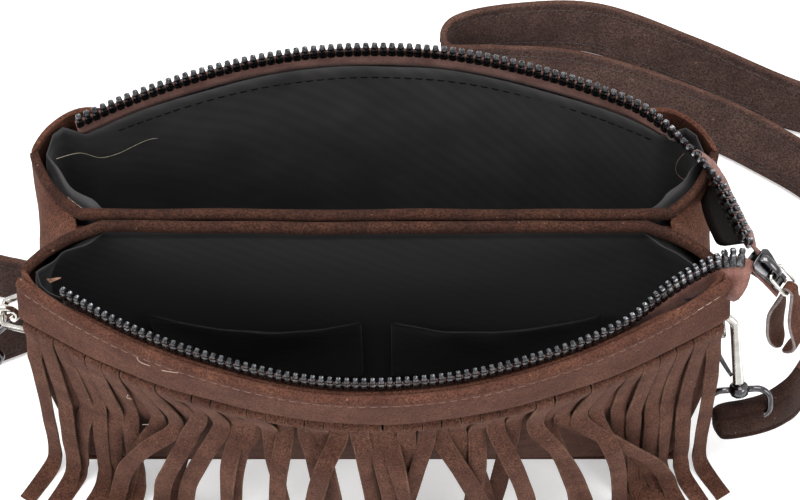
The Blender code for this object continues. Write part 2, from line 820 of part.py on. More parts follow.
def pull_link():
    """The wire link through the bail."""
    path = oblong((LINK_WIDTH - LINK_WIRE) / 2, LINK_LENGTH - LINK_WIRE, LINK_CORNER)
    path = [Vector((0, point.x, point.z)) for point in path]
    made = swept(
        "pull_link",
        path,
        (LINK_WIRE, LINK_WIRE),
        lambda index: Vector((1, 0, 0)),
        NICKEL,
        sides=6,
        closed=True,
    )
    made.matrix_world = link_frame()


def tab_frame():
    """The tab's own axes: its fold round the link's far bar, hanging straight down."""
    place = link_frame() @ Vector((0, 0, -(LINK_LENGTH - LINK_WIRE)))
    turn = Matrix.Rotation(math.radians(ZIP_HEADING_DEG), 4, "Z")
    return Matrix.Translation(place) @ turn @ Matrix.Rotation(math.radians(-PULL_TAB_SWING_DEG), 4, "Y")


def pull_tab():
    """The suede strip folded through the link, its two leaves sewn together below."""
    radius = LINK_WIRE / 2 + PULL_TAB_PLAY + PULL_TAB_THICKNESS / 2
    fold = []
    for step in range(9):
        angle = math.radians(-30 + 240 * step / 8)
        fold.append(Vector((radius * math.cos(angle), radius * math.sin(angle))))
    leaf = [(0.0032, -0.012, 0.92), (0.0046, -0.024, 1.0), (0.0030, -0.036, 0.80)]
    leaf.append((0.0011, -PULL_TAB_LENGTH, 0.42))
    flat = [Vector((x, z)) for x, z, _ in reversed(leaf)] + fold + [Vector((-x, z)) for x, z, _ in leaf]
    shares = [share for _, _, share in reversed(leaf)] + [0.34] * 9 + [share for _, _, share in leaf]
    outer, inner = [], []
    for a, b, share in zip(
        inset(flat, PULL_TAB_THICKNESS / 2), inset(flat, -PULL_TAB_THICKNESS / 2), shares
    ):
        half = PULL_TAB_WIDTH / 2 * share
        outer.append([Vector((a.x, -half, a.y)), Vector((a.x, half, a.y))])
        inner.append([Vector((b.x, -half, b.y)), Vector((b.x, half, b.y))])
    made = slab("pull_tab", outer, inner, SUEDE_BROWN)
    made.matrix_world = tab_frame()


def ring_pin(side):
    return Vector((side * RING_PIN_X, 0, RING_HEIGHT))


def ring_tab(side, label):
    """The suede tab in the notch, folded round the ring's pin and sewn into the gusset."""
    bore = RING_PIN / 2 + RING_TAB_PLAY
    outside = bore + RING_TAB_WALL
    root = notch_x(RING_HEIGHT) + GAP + 0.0002
    half = RING_TAB_WIDTH / 2
    loop_points, faces = [], []
    sides = 12
    for radius in (outside, bore):
        for y in (-half, half):
            for step in range(sides):
                angle = 2 * math.pi * (step + 0.5) / sides
                loop_points.append(
                    Vector((RING_PIN_X + radius * math.cos(angle), y, RING_HEIGHT + radius * math.sin(angle)))
                )
    for step in range(sides):
        beside = (step + 1) % sides
        a, b, c, d = 0, sides, 2 * sides, 3 * sides
        faces.append([a + step, a + beside, b + beside, b + step])
        faces.append([c + step, d + step, d + beside, c + beside])
        faces.append([a + step, c + step, c + beside, a + beside])
        faces.append([b + step, b + beside, d + beside, d + step])
    loop_points = [Vector((side * p.x, p.y, p.z)) for p in loop_points]
    loop = closed_object("ring_tab_" + label, loop_points, faces, SUEDE_BROWN)
    stem_points = []
    near, far = RING_PIN_X - outside + 0.0005, root
    for x, reach in ((near, half), (far + 0.0050, half * 0.62), (far, 0.0016)):
        for y, z in ((-reach, -1), (reach, -1), (reach, 1), (-reach, 1)):
            stem_points.append(Vector((side * x, y, RING_HEIGHT + z * RING_TAB_WALL)))
    stem = closed_object("ring_tab_stem_" + label, stem_points, tube_faces(3, 4), SUEDE_BROWN)
    joined(loop, [stem])


def ring_frame(side):
    """The ring's own axes: out from the bag and a little down, and along its pin."""
    droop = math.radians(RING_DROOP_RIGHT_DEG if side > 0 else RING_DROOP_LEFT_DEG)
    return Vector((side * math.cos(droop), 0, -math.sin(droop))), Vector((0, 1, 0))


def side_ring(side, label):
    """The four-sided ring: a round pin in the tab and three flat bars."""
    out, along = ring_frame(side)
    across = out.cross(along)
    points = []
    bar = RING_BAR / 2
    grown = [
        (-bar, -RING_INNER_WIDTH / 2 - bar),
        (-bar, RING_INNER_WIDTH / 2 + bar),
        (RING_LENGTH + bar, RING_OUTER_WIDTH / 2 + bar),
        (RING_LENGTH + bar, -RING_OUTER_WIDTH / 2 - bar),
    ]
    shrunk = [
        (bar, -RING_INNER_WIDTH / 2 + bar),
        (bar, RING_INNER_WIDTH / 2 - bar),
        (RING_LENGTH - bar, RING_OUTER_WIDTH / 2 - bar),
        (RING_LENGTH - bar, -RING_OUTER_WIDTH / 2 + bar),
    ]
    depths = [RING_PIN / 2 * 0.85, RING_PIN / 2 * 0.85, RING_DEPTH / 2, RING_DEPTH / 2]
    for index in range(4):
        for (u, v), lift in ((grown[index], 1), (shrunk[index], 1), (shrunk[index], -1), (grown[index], -1)):
            points.append(out * u + along * v + across * lift * depths[index])
    made = closed_object("ring_" + label, points, tube_faces(4, 4, closed=True), NICKEL)
    made.matrix_world = Matrix.Translation(ring_pin(side))


def hook_axes(side):
    """The hook's own axes: up its shank to the ring, across to its claw's tip, and its gate's turning axis."""
    down = Vector((0.13, -0.60, -0.79)) if side > 0 else Vector((-0.36, -0.12, -0.925))
    up = -down.normalized()
    bar = Vector((0, 1, 0))
    turn = (bar - up * bar.dot(up)).normalized()
    across = up.cross(turn).normalized()
    out, _ = ring_frame(side)
    if across.dot(out) > 0:
        across = -across
    return up, across, turn


def hook_place(side):
    """The middle of the collar on which a hook turns, so that its claw holds the ring's outer bar."""
    out, _ = ring_frame(side)
    up, across, _ = hook_axes(side)
    bar = ring_pin(side) + out * RING_LENGTH
    return bar - up * (HOOK_REACH + HOOK_RING_PLAY) - across * HOOK_CLAW_RADIUS


def hook_body(side, label):
    """The cast hook: a shank that turns on a post in the collar, bent over into a claw."""
    up, across, turn = hook_axes(side)
    place = hook_place(side)
    start = COLLAR_LENGTH / 2 + GAP
    stops = [(0.0, start), (0.0, HOOK_REACH * 0.5)]
    stops += [
        (
            HOOK_CLAW_RADIUS * (1 + math.cos(math.radians(180 - 30 * step))),
            HOOK_REACH + HOOK_CLAW_RADIUS * math.sin(math.radians(180 - 30 * step)),
        )
        for step in range(8)
    ]
    path = [place + across * a + up * b for a, b in stops]
    body = swept(
        "hook_body_" + label, path, (HOOK_WIRE, HOOK_WIRE), lambda index: turn, NICKEL, sides=8
    )
    low = -COLLAR_LENGTH / 2 - GAP - POST_HEAD
    profile = [
        (POST_HEAD_RADIUS, low),
        (POST_HEAD_RADIUS, low + POST_HEAD),
        (POST_RADIUS, low + POST_HEAD),
        (POST_RADIUS, start + 0.0008),
    ]
    joined(body, [turned("hook_post_" + label, profile, place, up, NICKEL, 10)])


def turned(name, profile, place, axis, material, sides, hollow=False):
    """A turned solid from its profile of radius and height, capped at both ends unless it is hollow."""
    side = axis.orthogonal().normalized()
    other = axis.cross(side)
    points = []
    for radius, height in profile:
        for step in range(sides):
            angle = 2 * math.pi * step / sides
            spoke = side * math.cos(angle) + other * math.sin(angle)
            points.append(place + axis * height + spoke * radius)
    faces = tube_faces(len(profile), sides, closed=hollow)
    return closed_object(name, points, faces, material, smooth=True)


def gate_pin(side):
    """The hinge of a hook's gate, beside the shank."""
    up, across, _ = hook_axes(side)
    beside = HOOK_WIRE / 2 + GAP + GATE_THICKNESS / 2 + 0.0001
    return hook_place(side) + across * beside + up * (HOOK_REACH * 0.24)


def hook_gate(side, label):
    """The sprung gate that closes the claw, with its origin on its hinge."""
    up, across, turn = hook_axes(side)
    tip_angle = math.radians(180 - 30 * 7)
    tip = (
        HOOK_CLAW_RADIUS * (1 + math.cos(tip_angle)) - 0.0004,
        HOOK_REACH + HOOK_CLAW_RADIUS * math.sin(tip_angle) - HOOK_WIRE / 2 - 0.0012,
    )
    place = hook_place(side)
    end = place + across * tip[0] + up * tip[1]
    pin = gate_pin(side)
    path = [pin - pin, (end - pin) * 0.5 + across * 0.0004, end - pin]
    made = swept(
        "hook_gate_" + label, path, (GATE_WIDTH, GATE_THICKNESS), lambda index: turn, GUNMETAL, sides=4
    )
    made.matrix_world = Matrix.Translation(pin)


def eye_far(side):
    """The middle of the eye's far bar, round which the strap is folded."""
    up, _, _ = hook_axes(side)
    return hook_place(side) - up * EYE_LENGTH


def hook_eye(side, label):
    """The strap eye: a wire loop cast on to the collar that the hook turns in."""
    up, across, turn = hook_axes(side)
    place = hook_place(side)
    collar = turned(
        "hook_eye_" + label,
        [
            (COLLAR_BORE, -COLLAR_LENGTH / 2),
            (COLLAR_RADIUS, -COLLAR_LENGTH / 2),
            (COLLAR_RADIUS, COLLAR_LENGTH / 2),
            (COLLAR_BORE, COLLAR_LENGTH / 2),
        ],
        place,
        up,
        GUNMETAL,
        12,
        hollow=True,
    )
    half = (EYE_WIDTH - EYE_WIRE) / 2
    inside = COLLAR_BORE + (COLLAR_RADIUS - COLLAR_BORE) * 0.5
    loop = [Vector((inside, 0)), Vector((half - EYE_CORNER, 0))]
    for cx, cy, start in ((half - EYE_CORNER, -EYE_CORNER, 90), (half - EYE_CORNER, -EYE_LENGTH + EYE_CORNER, 0)):
        loop += [
            Vector(
                (
                    cx + EYE_CORNER * math.cos(math.radians(start - 30 * step)),
                    cy + EYE_CORNER * math.sin(math.radians(start - 30 * step)),
                )
            )
            for step in range(1, 4)
        ]
    loop += [Vector((-point.x, point.y)) for point in reversed(loop)]
    path = [place + across * point.x + up * point.y for point in loop]
    wire = swept(
        "eye_wire_" + label, path, (EYE_WIRE, EYE_WIRE), lambda index: turn, GUNMETAL, sides=6
    )
    joined(collar, [wire])


# The strap's route between its two folds, chosen by hand: x, y, lift over the floor, and the lean of its
# width from flat, in millimetres and degrees. A lean of 90 stands on edge; over 90 it leans the other way.
STRAP_ROUTE = [
    (149.0, -44.0, 3.0, 10.0),
    (158.0, -52.0, 0.0, 30.0),
    (170.0, -46.0, 0.0, 55.0),
    (179.0, -22.0, 0.0, 75.0),
    (194.0, 42.0, 0.0, 92.0),
    (192.0, 80.0, 0.0, 112.0),
    (162.0, 106.0, 0.0, 122.0),
    (125.0, 125.0, 0.0, 124.0),
    (85.0, 139.0, 0.0, 122.0),
    (50.0, 143.0, 0.0, 110.0),
    (30.0, 147.0, 0.0, 90.0),
    (33.0, 159.0, 0.0, 82.0),
    (60.0, 164.0, 0.0, 70.0),
    (95.0, 163.0, 0.0, 62.0),
    (135.0, 146.0, 0.0, 60.0),
    (180.0, 124.0, 0.0, 64.0),
    (215.0, 118.0, 0.0, 80.0),
    (236.0, 142.0, 0.0, 90.0),
    (228.0, 186.0, 0.0, 90.0),
    (190.0, 215.0, 0.0, 82.0),
    (110.0, 226.0, 0.0, 76.0),
    (20.0, 229.0, 0.0, 74.0),
    (-70.0, 224.0, 0.0, 76.0),
    (-145.0, 208.0, 0.0, 82.0),
    (-190.0, 168.0, 0.0, 90.0),
    (-205.0, 115.0, 0.0, 90.0),
    (-192.0, 70.0, 0.0, 84.0),
    (-165.0, 47.0, 0.0, 72.0),
    (-140.0, 40.0, 0.0, 78.0),
    (-129.0, 31.0, 0.0, 90.0),
    (-137.0, 22.0, 0.0, 98.0),
    (-160.0, 14.0, 0.0, 112.0),
    (-188.0, 4.0, 0.0, 120.0),
    (-207.0, -18.0, 0.0, 138.0),
    (-202.0, -42.0, 0.0, 158.0),
    (-182.0, -44.0, 2.0, 172.0),
    (-170.0, -26.0, 7.0, 178.0),
]


def fold_at(side):
    """The strap's fold round an eye: its line from the sewn end to where the strap leaves, and its width axis."""
    up, across, turn = hook_axes(side)
    centre = eye_far(side)
    down = -up
    radius = EYE_WIRE / 2 + STRAP_LOOP_PLAY + STRAP_THICKNESS / 2
    layer = (STRAP_THICKNESS + GAP) / 2 + 0.0002
    flat = [(STRAP_FOLD_LENGTH, layer), (STRAP_FOLD_LENGTH * 0.6, layer)]
    for step in range(9):
        angle = math.radians(55 + 250 * step / 8)
        flat.append((radius * math.cos(angle), radius * math.sin(angle)))
    flat += [(STRAP_FOLD_LENGTH * 0.6, -layer), (STRAP_FOLD_LENGTH, -layer)]
    line = [centre + down * a + turn * b for a, b in flat]
    wide = across if across.dot(Vector((1, 0, 0))) > 0 else -across
    return line, wide


def strap_stations():
    """The middle line of the strap with its width direction and width at each point."""
    right_line, right_wide = fold_at(1)
    left_line, left_wide = fold_at(-1)
    stops, leans = [], []
    for x, y, lift, lean in STRAP_ROUTE:
        angle = math.radians(lean)
        rest = STRAP_WIDTH / 2 * abs(math.sin(angle)) + STRAP_THICKNESS / 2 * abs(math.cos(angle))
        stops.append(Vector((x, y, lift + rest * 1000 + 0.5)) * 0.001)
        leans.append(angle)
    ends = [right_line[-1], *stops, left_line[-1]]
    line = curved(ends, STRAP_STATIONS)
    stations = []
    for index, place in enumerate(line):
        before, after = line[max(index - 1, 0)], line[min(index + 1, len(line) - 1)]
        along = (after - before).normalized()
        flat_along = Vector((along.x, along.y, 0)).normalized()
        left = Vector((-flat_along.y, flat_along.x, 0))
        nearest = min(range(len(stops)), key=lambda spot: (stops[spot] - place).length)
        lean = blended_lean(place, stops, leans, nearest)
        wide = left * math.cos(lean) + Vector((0, 0, 1)) * math.sin(lean)
        stations.append([place, wide, STRAP_WIDTH])
    blend_ends(stations, right_wide, left_wide)
    right = [[place, right_wide, STRAP_LOOP_WIDTH] for place in right_line]
    left_side = [[place, left_wide, STRAP_LOOP_WIDTH] for place in left_line[::-1]]
    return right[:-1] + stations + left_side[1:]


def blended_lean(place, stops, leans, nearest):
    """The lean between the two route points that a place lies between."""
    total, weight = 0.0, 0.0
    for spot in range(max(0, nearest - 2), min(len(stops), nearest + 3)):
        near = 1.0 / ((stops[spot] - place).length + 0.004) ** 2
        total += leans[spot] * near
        weight += near
    return total / weight


def blend_ends(stations, first_wide, last_wide):
    """Turns and widens the strap smoothly out of its folds."""
    count = 7
    for index in range(count):
        share = index / count
        for station, wide in ((stations[index], first_wide), (stations[-1 - index], last_wide)):
            if station[1].dot(wide) < 0:
                wide = -wide
            station[1] = wide.lerp(station[1], share).normalized()
            station[2] = STRAP_LOOP_WIDTH + (STRAP_WIDTH - STRAP_LOOP_WIDTH) * min(1.0, share * 2)


def strap():
    """The long suede strap, folded round the eye of a hook at each end and sewn to itself."""
    stations = strap_stations()
    points = []
    last_wide = stations[0][1]
    for index, (place, wide, width) in enumerate(stations):
        before = stations[max(index - 1, 0)][0]
        after = stations[min(index + 1, len(stations) - 1)][0]
        along = (after - before).normalized()
        if wide.dot(last_wide) < 0:
            wide = -wide
        wide = (wide - along * wide.dot(along)).normalized()
        last_wide = wide
        thick = along.cross(wide).normalized() * STRAP_THICKNESS / 2
        half = wide * width / 2
        points += [place + half + thick, place - half + thick, place - half - thick, place + half - thick]
    closed_object("strap", points, tube_faces(len(stations), 4), SUEDE_BROWN)


def main():
    base_panel()
    outer_panel("rear_panel", 1)
    outer_panel("front_panel", -1)
    side_gussets()
    divider_wall("divider_wall_rear", 1)
    divider_wall("divider_wall_front", -1)
    pouch_lining("rear_lining", 1)
    pouch_lining("front_lining", -1)
    slip_pockets()
    front_band()
    fringe()
    zip_side("zip_side_rear", 1)
    zip_side("zip_side_front", -1)
    slider()
    zip_bottom_stop()
    pull_link()
    pull_tab()
    for side, label in ((-1, "left"), (1, "right")):
        ring_tab(side, label)
        side_ring(side, label)
        hook_body(side, label)
        hook_gate(side, label)
        hook_eye(side, label)
    strap()


main()
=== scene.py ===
import math
import random

import bpy
from mathutils import Matrix, Vector, noise


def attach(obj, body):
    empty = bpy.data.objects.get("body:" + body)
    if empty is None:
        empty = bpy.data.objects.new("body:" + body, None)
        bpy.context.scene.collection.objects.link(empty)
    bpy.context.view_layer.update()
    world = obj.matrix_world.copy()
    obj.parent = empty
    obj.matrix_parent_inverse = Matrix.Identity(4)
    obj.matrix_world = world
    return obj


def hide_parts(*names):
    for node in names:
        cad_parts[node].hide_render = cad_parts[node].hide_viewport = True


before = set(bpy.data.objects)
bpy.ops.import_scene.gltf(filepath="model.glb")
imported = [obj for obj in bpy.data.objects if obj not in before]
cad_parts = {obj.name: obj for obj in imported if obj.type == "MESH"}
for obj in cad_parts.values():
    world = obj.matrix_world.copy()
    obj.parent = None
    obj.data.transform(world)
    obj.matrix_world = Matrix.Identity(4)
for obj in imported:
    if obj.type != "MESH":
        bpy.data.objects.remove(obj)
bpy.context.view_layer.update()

# Brown microfibre suede, brushed on its face. The nap gives it a matt, mottled look: dark pits between the
# fibres, lighter patches where it is rubbed, and a few pale flecks of lint caught in it.
SUEDE_DEEP = "#2c1913"
SUEDE_MID = "#553429"
SUEDE_RUBBED = "#6b4738"
LINT = "#8d6f60"
NAP_MOTTLE_MM = 13.0
NAP_STREAK_MM = 3.2
NAP_GRAIN_MM = 0.62
LINT_FLECK_MM = 1.5


def linear(code):
    """A screen colour code as the linear values that a shader works with."""
    channels = [int(code[place : place + 2], 16) / 255 for place in (1, 3, 5)]
    toned = [c / 12.92 if c <= 0.04045 else ((c + 0.055) / 1.055) ** 2.4 for c in channels]
    return (*toned, 1.0)


def node(tree, kind, settings=None, **links):
    """Adds a shader node: its settings by name, and its inputs linked to other nodes' outputs."""
    made = tree.nodes.new(kind)
    for key, value in (settings or {}).items():
        if hasattr(made, key):
            setattr(made, key, value)
        else:
            made.inputs[key].default_value = value
    for key, source in links.items():
        tree.links.new(source, made.inputs[key.replace("_", " ")])
    return made


def started(name, **values):
    """A material with its shader's plain values set, and the object's own millimetre-true coordinates."""
    made = bpy.data.materials.new(name)
    made.use_nodes = True
    tree = made.node_tree
    shader = tree.nodes["Principled BSDF"]
    for key, value in values.items():
        shader.inputs[key.replace("_", " ")].default_value = value
    place = node(tree, "ShaderNodeTexCoord").outputs["Object"]
    return made, tree, shader, place


def tone(tree, amount, low, high, dark, light):
    """Runs from one colour to another as an amount goes from low to high."""
    ramp = node(tree, "ShaderNodeValToRGB", Fac=amount)
    ramp.color_ramp.elements[0].position = low
    ramp.color_ramp.elements[0].color = dark
    ramp.color_ramp.elements[1].position = high
    ramp.color_ramp.elements[1].color = light
    return ramp.outputs["Color"]


def mixed(tree, mode, share, first, second):
    """Lays the second colour over the first by a share, which is a number or a node's output."""
    made = node(tree, "ShaderNodeMix", {"data_type": "RGBA", "blend_type": mode})
    if isinstance(share, float):
        made.inputs[0].default_value = share
    else:
        tree.links.new(share, made.inputs[0])
    for socket, value in ((made.inputs[6], first), (made.inputs[7], second)):
        if isinstance(value, tuple):
            socket.default_value = value
        else:
            tree.links.new(value, socket)
    return made.outputs[2]


def cloudy(tree, place, size_mm, detail, roughness=0.5):
    """An amount that wanders from 0 to 1 in patches of a size in millimetres."""
    settings = {"Scale": 1000 / size_mm, "Detail": detail, "Roughness": roughness}
    return node(tree, "ShaderNodeTexNoise", settings, Vector=place).outputs["Fac"]


def dented(tree, shader, height, strength, distance, invert=False):
    """Lets the light catch the small heights of a surface."""
    settings = {"Strength": strength, "Distance": distance, "invert": invert}
    bump = node(tree, "ShaderNodeBump", settings, Height=height)
    tree.links.new(bump.outputs["Normal"], shader.inputs["Normal"])


def suede(name, deep, mid, rubbed, grain_mm=NAP_GRAIN_MM):
    """Brushed suede with dark pits in its nap, rubbed patches and flecks of lint."""
    made, tree, shader, place = started(name, Roughness=0.96, Specular_IOR_Level=0.16, Sheen_Weight=0.10)
    shader.inputs["Sheen Roughness"].default_value = 0.6
    shader.inputs["Sheen Tint"].default_value = linear(rubbed)
    mottle = cloudy(tree, place, NAP_MOTTLE_MM, 4.0)
    streak = cloudy(tree, place, NAP_STREAK_MM, 3.0)
    grain = cloudy(tree, place, grain_mm, 2.0, roughness=0.7)
    broad = tone(tree, mottle, 0.34, 0.68, linear(mid), linear(rubbed))
    broken = tone(tree, streak, 0.30, 0.62, (0.80, 0.78, 0.77, 1), (1.06, 1.06, 1.06, 1))
    body = mixed(tree, "MULTIPLY", 0.8, broad, broken)
    pits = tone(tree, grain, 0.38, 0.60, (0.85, 0.85, 0.85, 1), (0, 0, 0, 1))
    pitted = mixed(tree, "MIX", pits, body, linear(deep))
    flecks = tone(tree, cloudy(tree, place, LINT_FLECK_MM, 1.0), 0.75, 0.78, (0, 0, 0, 1), (0.5, 0.5, 0.5, 1))
    tree.links.new(mixed(tree, "MIX", flecks, pitted, linear(LINT)), shader.inputs["Base Color"])
    height = node(tree, "ShaderNodeMath", {"operation": "ADD"}, Value=grain)
    tree.links.new(streak, height.inputs[1])
    dented(tree, shader, height.outputs[0], 0.8, 0.0004)
    return made


SUEDE = suede("brown_microfibre_suede", SUEDE_DEEP, SUEDE_MID, SUEDE_RUBBED)
BAND_SUEDE = suede("smooth_brushed_suede", "#33201a", "#523329", "#684436", 0.7)
FRINGE_SUEDE = suede("soft_split_suede", "#2d1b16", "#54362b", "#6b483a", 0.7)
ROLL_SUEDE = suede("rolled_edge_suede", "#1e110d", "#37221b", "#4b3025", 0.8)
RUBBED_SUEDE = suede("rubbed_suede", "#5f4234", "#94705f", "#b08d79", 0.6)
CUT_EDGE = suede("raw_cut_suede_edge", "#35211a", "#543a2f", "#80604f", 0.5)

# The bag's two outer walls. Each is one suede panel 1.6 mm thick, sewn round its base and sides, bowed out at
# the open mouth, with its top edge turned over the zip's tape so that it shows as a soft roll.
BAG_HEIGHT = 0.160
BASE_WIDTH = 0.240
BASE_DEPTH = 0.064
MOUTH_WIDTH = 0.241
SIDE_FULLNESS = 0.0055
REAR_CORNER_Y = 0.028
FRONT_CORNER_Y = 0.023
REAR_BELLY = 0.039
FRONT_BELLY = 0.043
PANEL_THICKNESS = 0.0016
BASE_THICKNESS = 0.0020
CLEARANCE = 0.0003
RIPPLE = 0.0007
CORNER_PUFF = {1: 0.0052, -1: 0.0015}
PUFF_RUN = 0.20
CORNER_TUCK = 0.0032
TUCK_FROM = 0.80
TUCK_RUN = 0.20
BELLY_TURN_DEG = 72


def rise(z):
    """A height as a share of the bag's height."""
    return z / BAG_HEIGHT


def clamped(number):
    """A number kept from 0 to 1."""
    return max(0.0, min(1.0, number))


def half_width(z):
    """Half the bag's width at a height, with the sides' slight fullness."""
    fuller = SIDE_FULLNESS * math.sin(math.pi * clamped(rise(z)))
    return (BASE_WIDTH + (MOUTH_WIDTH - BASE_WIDTH) * rise(z)) / 2 + fuller


def corner_y(z, side):
    """How far from the middle plane a wall's corners stand at a height."""
    rim = REAR_CORNER_Y if side > 0 else FRONT_CORNER_Y
    return BASE_DEPTH / 2 + (rim - BASE_DEPTH / 2) * rise(z)


def belly(z):
    """How far the walls have bowed out at a height, as a share of what they do at the mouth."""
    full = math.radians(BELLY_TURN_DEG)
    return math.sin(full * min(rise(z), 1.0)) / math.sin(full)


def panel_y(x, z, side):
    """How far a panel's outer face stands from the middle plane, with the slow ripple of soft suede."""
    reach = REAR_BELLY if side > 0 else FRONT_BELLY
    ripple = noise.noise(Vector((x * 26, z * 17, side * 4.3))) * RIPPLE * clamped(z * 20)
    across = 1 - (x / half_width(z)) ** 2
    return corner_y(z, side) + reach * belly(z) * across + ripple * min(1.0, across * 4)


def panel_outline(side):
    """A panel's outer face: share 0 to 1 runs anticlockwise from above, so outward is to the right."""

    def place(share, z):
        x = half_width(z) * (2 * share - 1) * -side
        return Vector((x, side * panel_y(x, z, side)))

    return place


def rounded_outline(side, run=PUFF_RUN):
    """The same face with its two ends puffed out into round corners near the rim."""

    def place(share, z):
        spot = panel_outline(side)(share, z)
        near = max(0.0, (abs(spot.x) / half_width(z) - 1 + run) / run)
        puff = CORNER_PUFF[side] * 4 * near * (1 - near) * rise(z) ** 2
        tuck = CORNER_TUCK * max(0.0, (near - TUCK_FROM) / TUCK_RUN) ** 2
        return Vector((spot.x, spot.y + side * (puff - tuck)))

    return place


def off_face(outline, share, z, out):
    """A point beside an outline's face: out is positive away from the bag."""
    before, after = outline(max(share - 0.004, 0.0), z), outline(min(share + 0.004, 1.0), z)
    along = (after - before).normalized()
    spot = outline(share, z)
    return Vector((spot.x + along.y * out, spot.y - along.x * out, z))


def piece(name, points, faces, materials, body="bag", smooth=True, edge_faces=()):
    """A mesh that rides on a body; the faces listed as edges take the second material."""
    mesh = bpy.data.meshes.new(name)
    mesh.from_pydata([tuple(point) for point in points], [], faces)
    for material in materials if isinstance(materials, (list, tuple)) else [materials]:
        mesh.materials.append(material)
    for face in edge_faces:
        mesh.polygons[face].material_index = 1
    mesh.validate()
    mesh.update()
    if smooth:
        mesh.shade_smooth()
    made = bpy.data.objects.new(name, mesh)
    bpy.context.collection.objects.link(made)
    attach(made, body)
    return made


def softened(made, levels=1):
    """Rounds off a piece of cloth or suede."""
    soft = made.modifiers.new("softened", "SUBSURF")
    soft.levels = levels
    soft.render_levels = levels
    return made


def two_grids(rows, columns, at):
    """Two grids of points, one for each skin of a sheet: at(row, column) gives a point of each."""
    outer, inner = [], []
    for row in range(rows):
        pairs = [at(row, column) for column in range(columns)]
        outer.append([pair[0] for pair in pairs])
        inner.append([pair[1] for pair in pairs])
    return outer, inner


def two_skins(name, outer, inner, materials, **facts):
    """A sheet of real thickness between two grids of points of the same size."""
    rows, columns = len(outer), len(outer[0])
    points = [p for row in outer for p in row] + [p for row in inner for p in row]
    count = rows * columns
    faces = []
    for row in range(rows - 1):
        for column in range(columns - 1):
            a = row * columns + column
            quad = [a, a + 1, a + columns + 1, a + columns]
            faces.append(quad)
            faces.append([corner + count for corner in reversed(quad)])
    border = [(0, c) for c in range(columns)] + [(r, columns - 1) for r in range(1, rows)]
    border += [(rows - 1, c) for c in range(columns - 2, -1, -1)] + [(r, 0) for r in range(rows - 2, 0, -1)]
    ring = [r * columns + c for r, c in border]
    for here, there in zip(ring, ring[1:] + ring[:1]):
        faces.append([there, here, here + count, there + count])
    return piece(name, points, faces, materials, **facts)


# The turned-over edge: how far below the top each row stands, and its share of the roll's swelling
TURNED_EDGE = [(0.0034, 0.0), (0.0024, 0.8), (0.0012, 1.0), (0.0004, 0.6), (0.0, 0.0)]
EDGE_CLOSED_SHARE = 0.42


def wall(name, outline, low, top_at, outer_face, inner_face, material, columns, rows, roll=0.0005):
    """A suede wall with its top edge turned over: the last rows swell outward and close over the edge."""
    last_row = rows + len(TURNED_EDGE) - 1

    def at(row, column):
        share = column / (columns - 1)
        top = top_at(share)
        swell = 0.0
        if row < rows:
            z = low + (top - TURNED_EDGE[0][0] - low) * row / rows
        else:
            drop, fat = TURNED_EDGE[row - rows]
            z = top - drop
            swell = roll * fat
        pull = (outer_face - inner_face) * (EDGE_CLOSED_SHARE if row == last_row else 0.0)
        outer_spot = off_face(outline, share, z, outer_face + swell - pull)
        return outer_spot, off_face(outline, share, min(z, top - 0.0003), inner_face + pull)

    outer, inner = two_grids(last_row + 1, columns, at)
    return softened(two_skins(name, outer, inner, material))


for panel_name, side in (("rear_panel", 1), ("front_panel", -1)):
    panel = wall(
        panel_name + "_suede",
        rounded_outline(side),
        BASE_THICKNESS + CLEARANCE,
        lambda share: BAG_HEIGHT,
        0.0,
        -PANEL_THICKNESS,
        SUEDE,
        91,
        20,
    )
    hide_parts(panel_name)

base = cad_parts["base_panel"]
for slot in base.material_slots:
    slot.material = SUEDE

# The side gussets: one suede strip a side, folded inward along its middle, so that it runs from a pouch's
# corner into the notch and out again. Its raw top edge dips toward the notch.
NOTCH_DEPTH = 0.032
BASE_NOTCH_DEPTH = 0.0012
NOTCH_HALF_WIDTH = 0.0023
GUSSET_CURL = 0.0035
GUSSET_DROP = 0.0075
GUSSET_INSET = 0.0012
GUSSET_RIPPLE = 0.0008
GUSSET_BELOW_RIM = 0.0006


def notch_x(z):
    """Where the bottom of the notch stands at a height: shallow at the base, deep only near the rim."""
    return half_width(z) - BASE_NOTCH_DEPTH - (NOTCH_DEPTH - BASE_NOTCH_DEPTH) * rise(z) ** 12


def gusset_outline(hand):
    """The gusset's outer face: the right one from front to rear, the left one from rear to front."""

    def place(share, z):
        side = (-1 if share < 0.5 else 1) * hand
        t = 1 - abs(2 * share - 1)
        start_y = corner_y(z, side) - PANEL_THICKNESS - GUSSET_INSET
        first = Vector((half_width(z), side * start_y))
        bend = Vector((half_width(z) - GUSSET_CURL, side * start_y * 0.45))
        last = Vector((notch_x(z), side * NOTCH_HALF_WIDTH))
        spot = first * (1 - t) ** 2 + bend * (2 * t * (1 - t)) + last * t * t
        ripple = GUSSET_RIPPLE * noise.noise(Vector((share * 7, z * 22, hand * 9.1)))
        puff = ripple * math.sin(math.pi * share) * rise(z)
        return Vector((hand * (spot.x + puff), spot.y))

    return place


def dip(share):
    """How far the gusset's top edge has dipped, from 0 at its ends to 1 in the notch."""
    return math.sin(math.pi * share) ** 1.1


for hand, label in ((1, "right"), (-1, "left")):
    gusset = wall(
        "side_gusset_" + label + "_suede",
        gusset_outline(hand),
        BASE_THICKNESS + CLEARANCE,
        lambda share: BAG_HEIGHT - GUSSET_BELOW_RIM - GUSSET_DROP * dip(share),
        0.0,
        -PANEL_THICKNESS,
        SUEDE,
        45,
        20,
        roll=0.0003,
    )
    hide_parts("side_gusset_" + label)

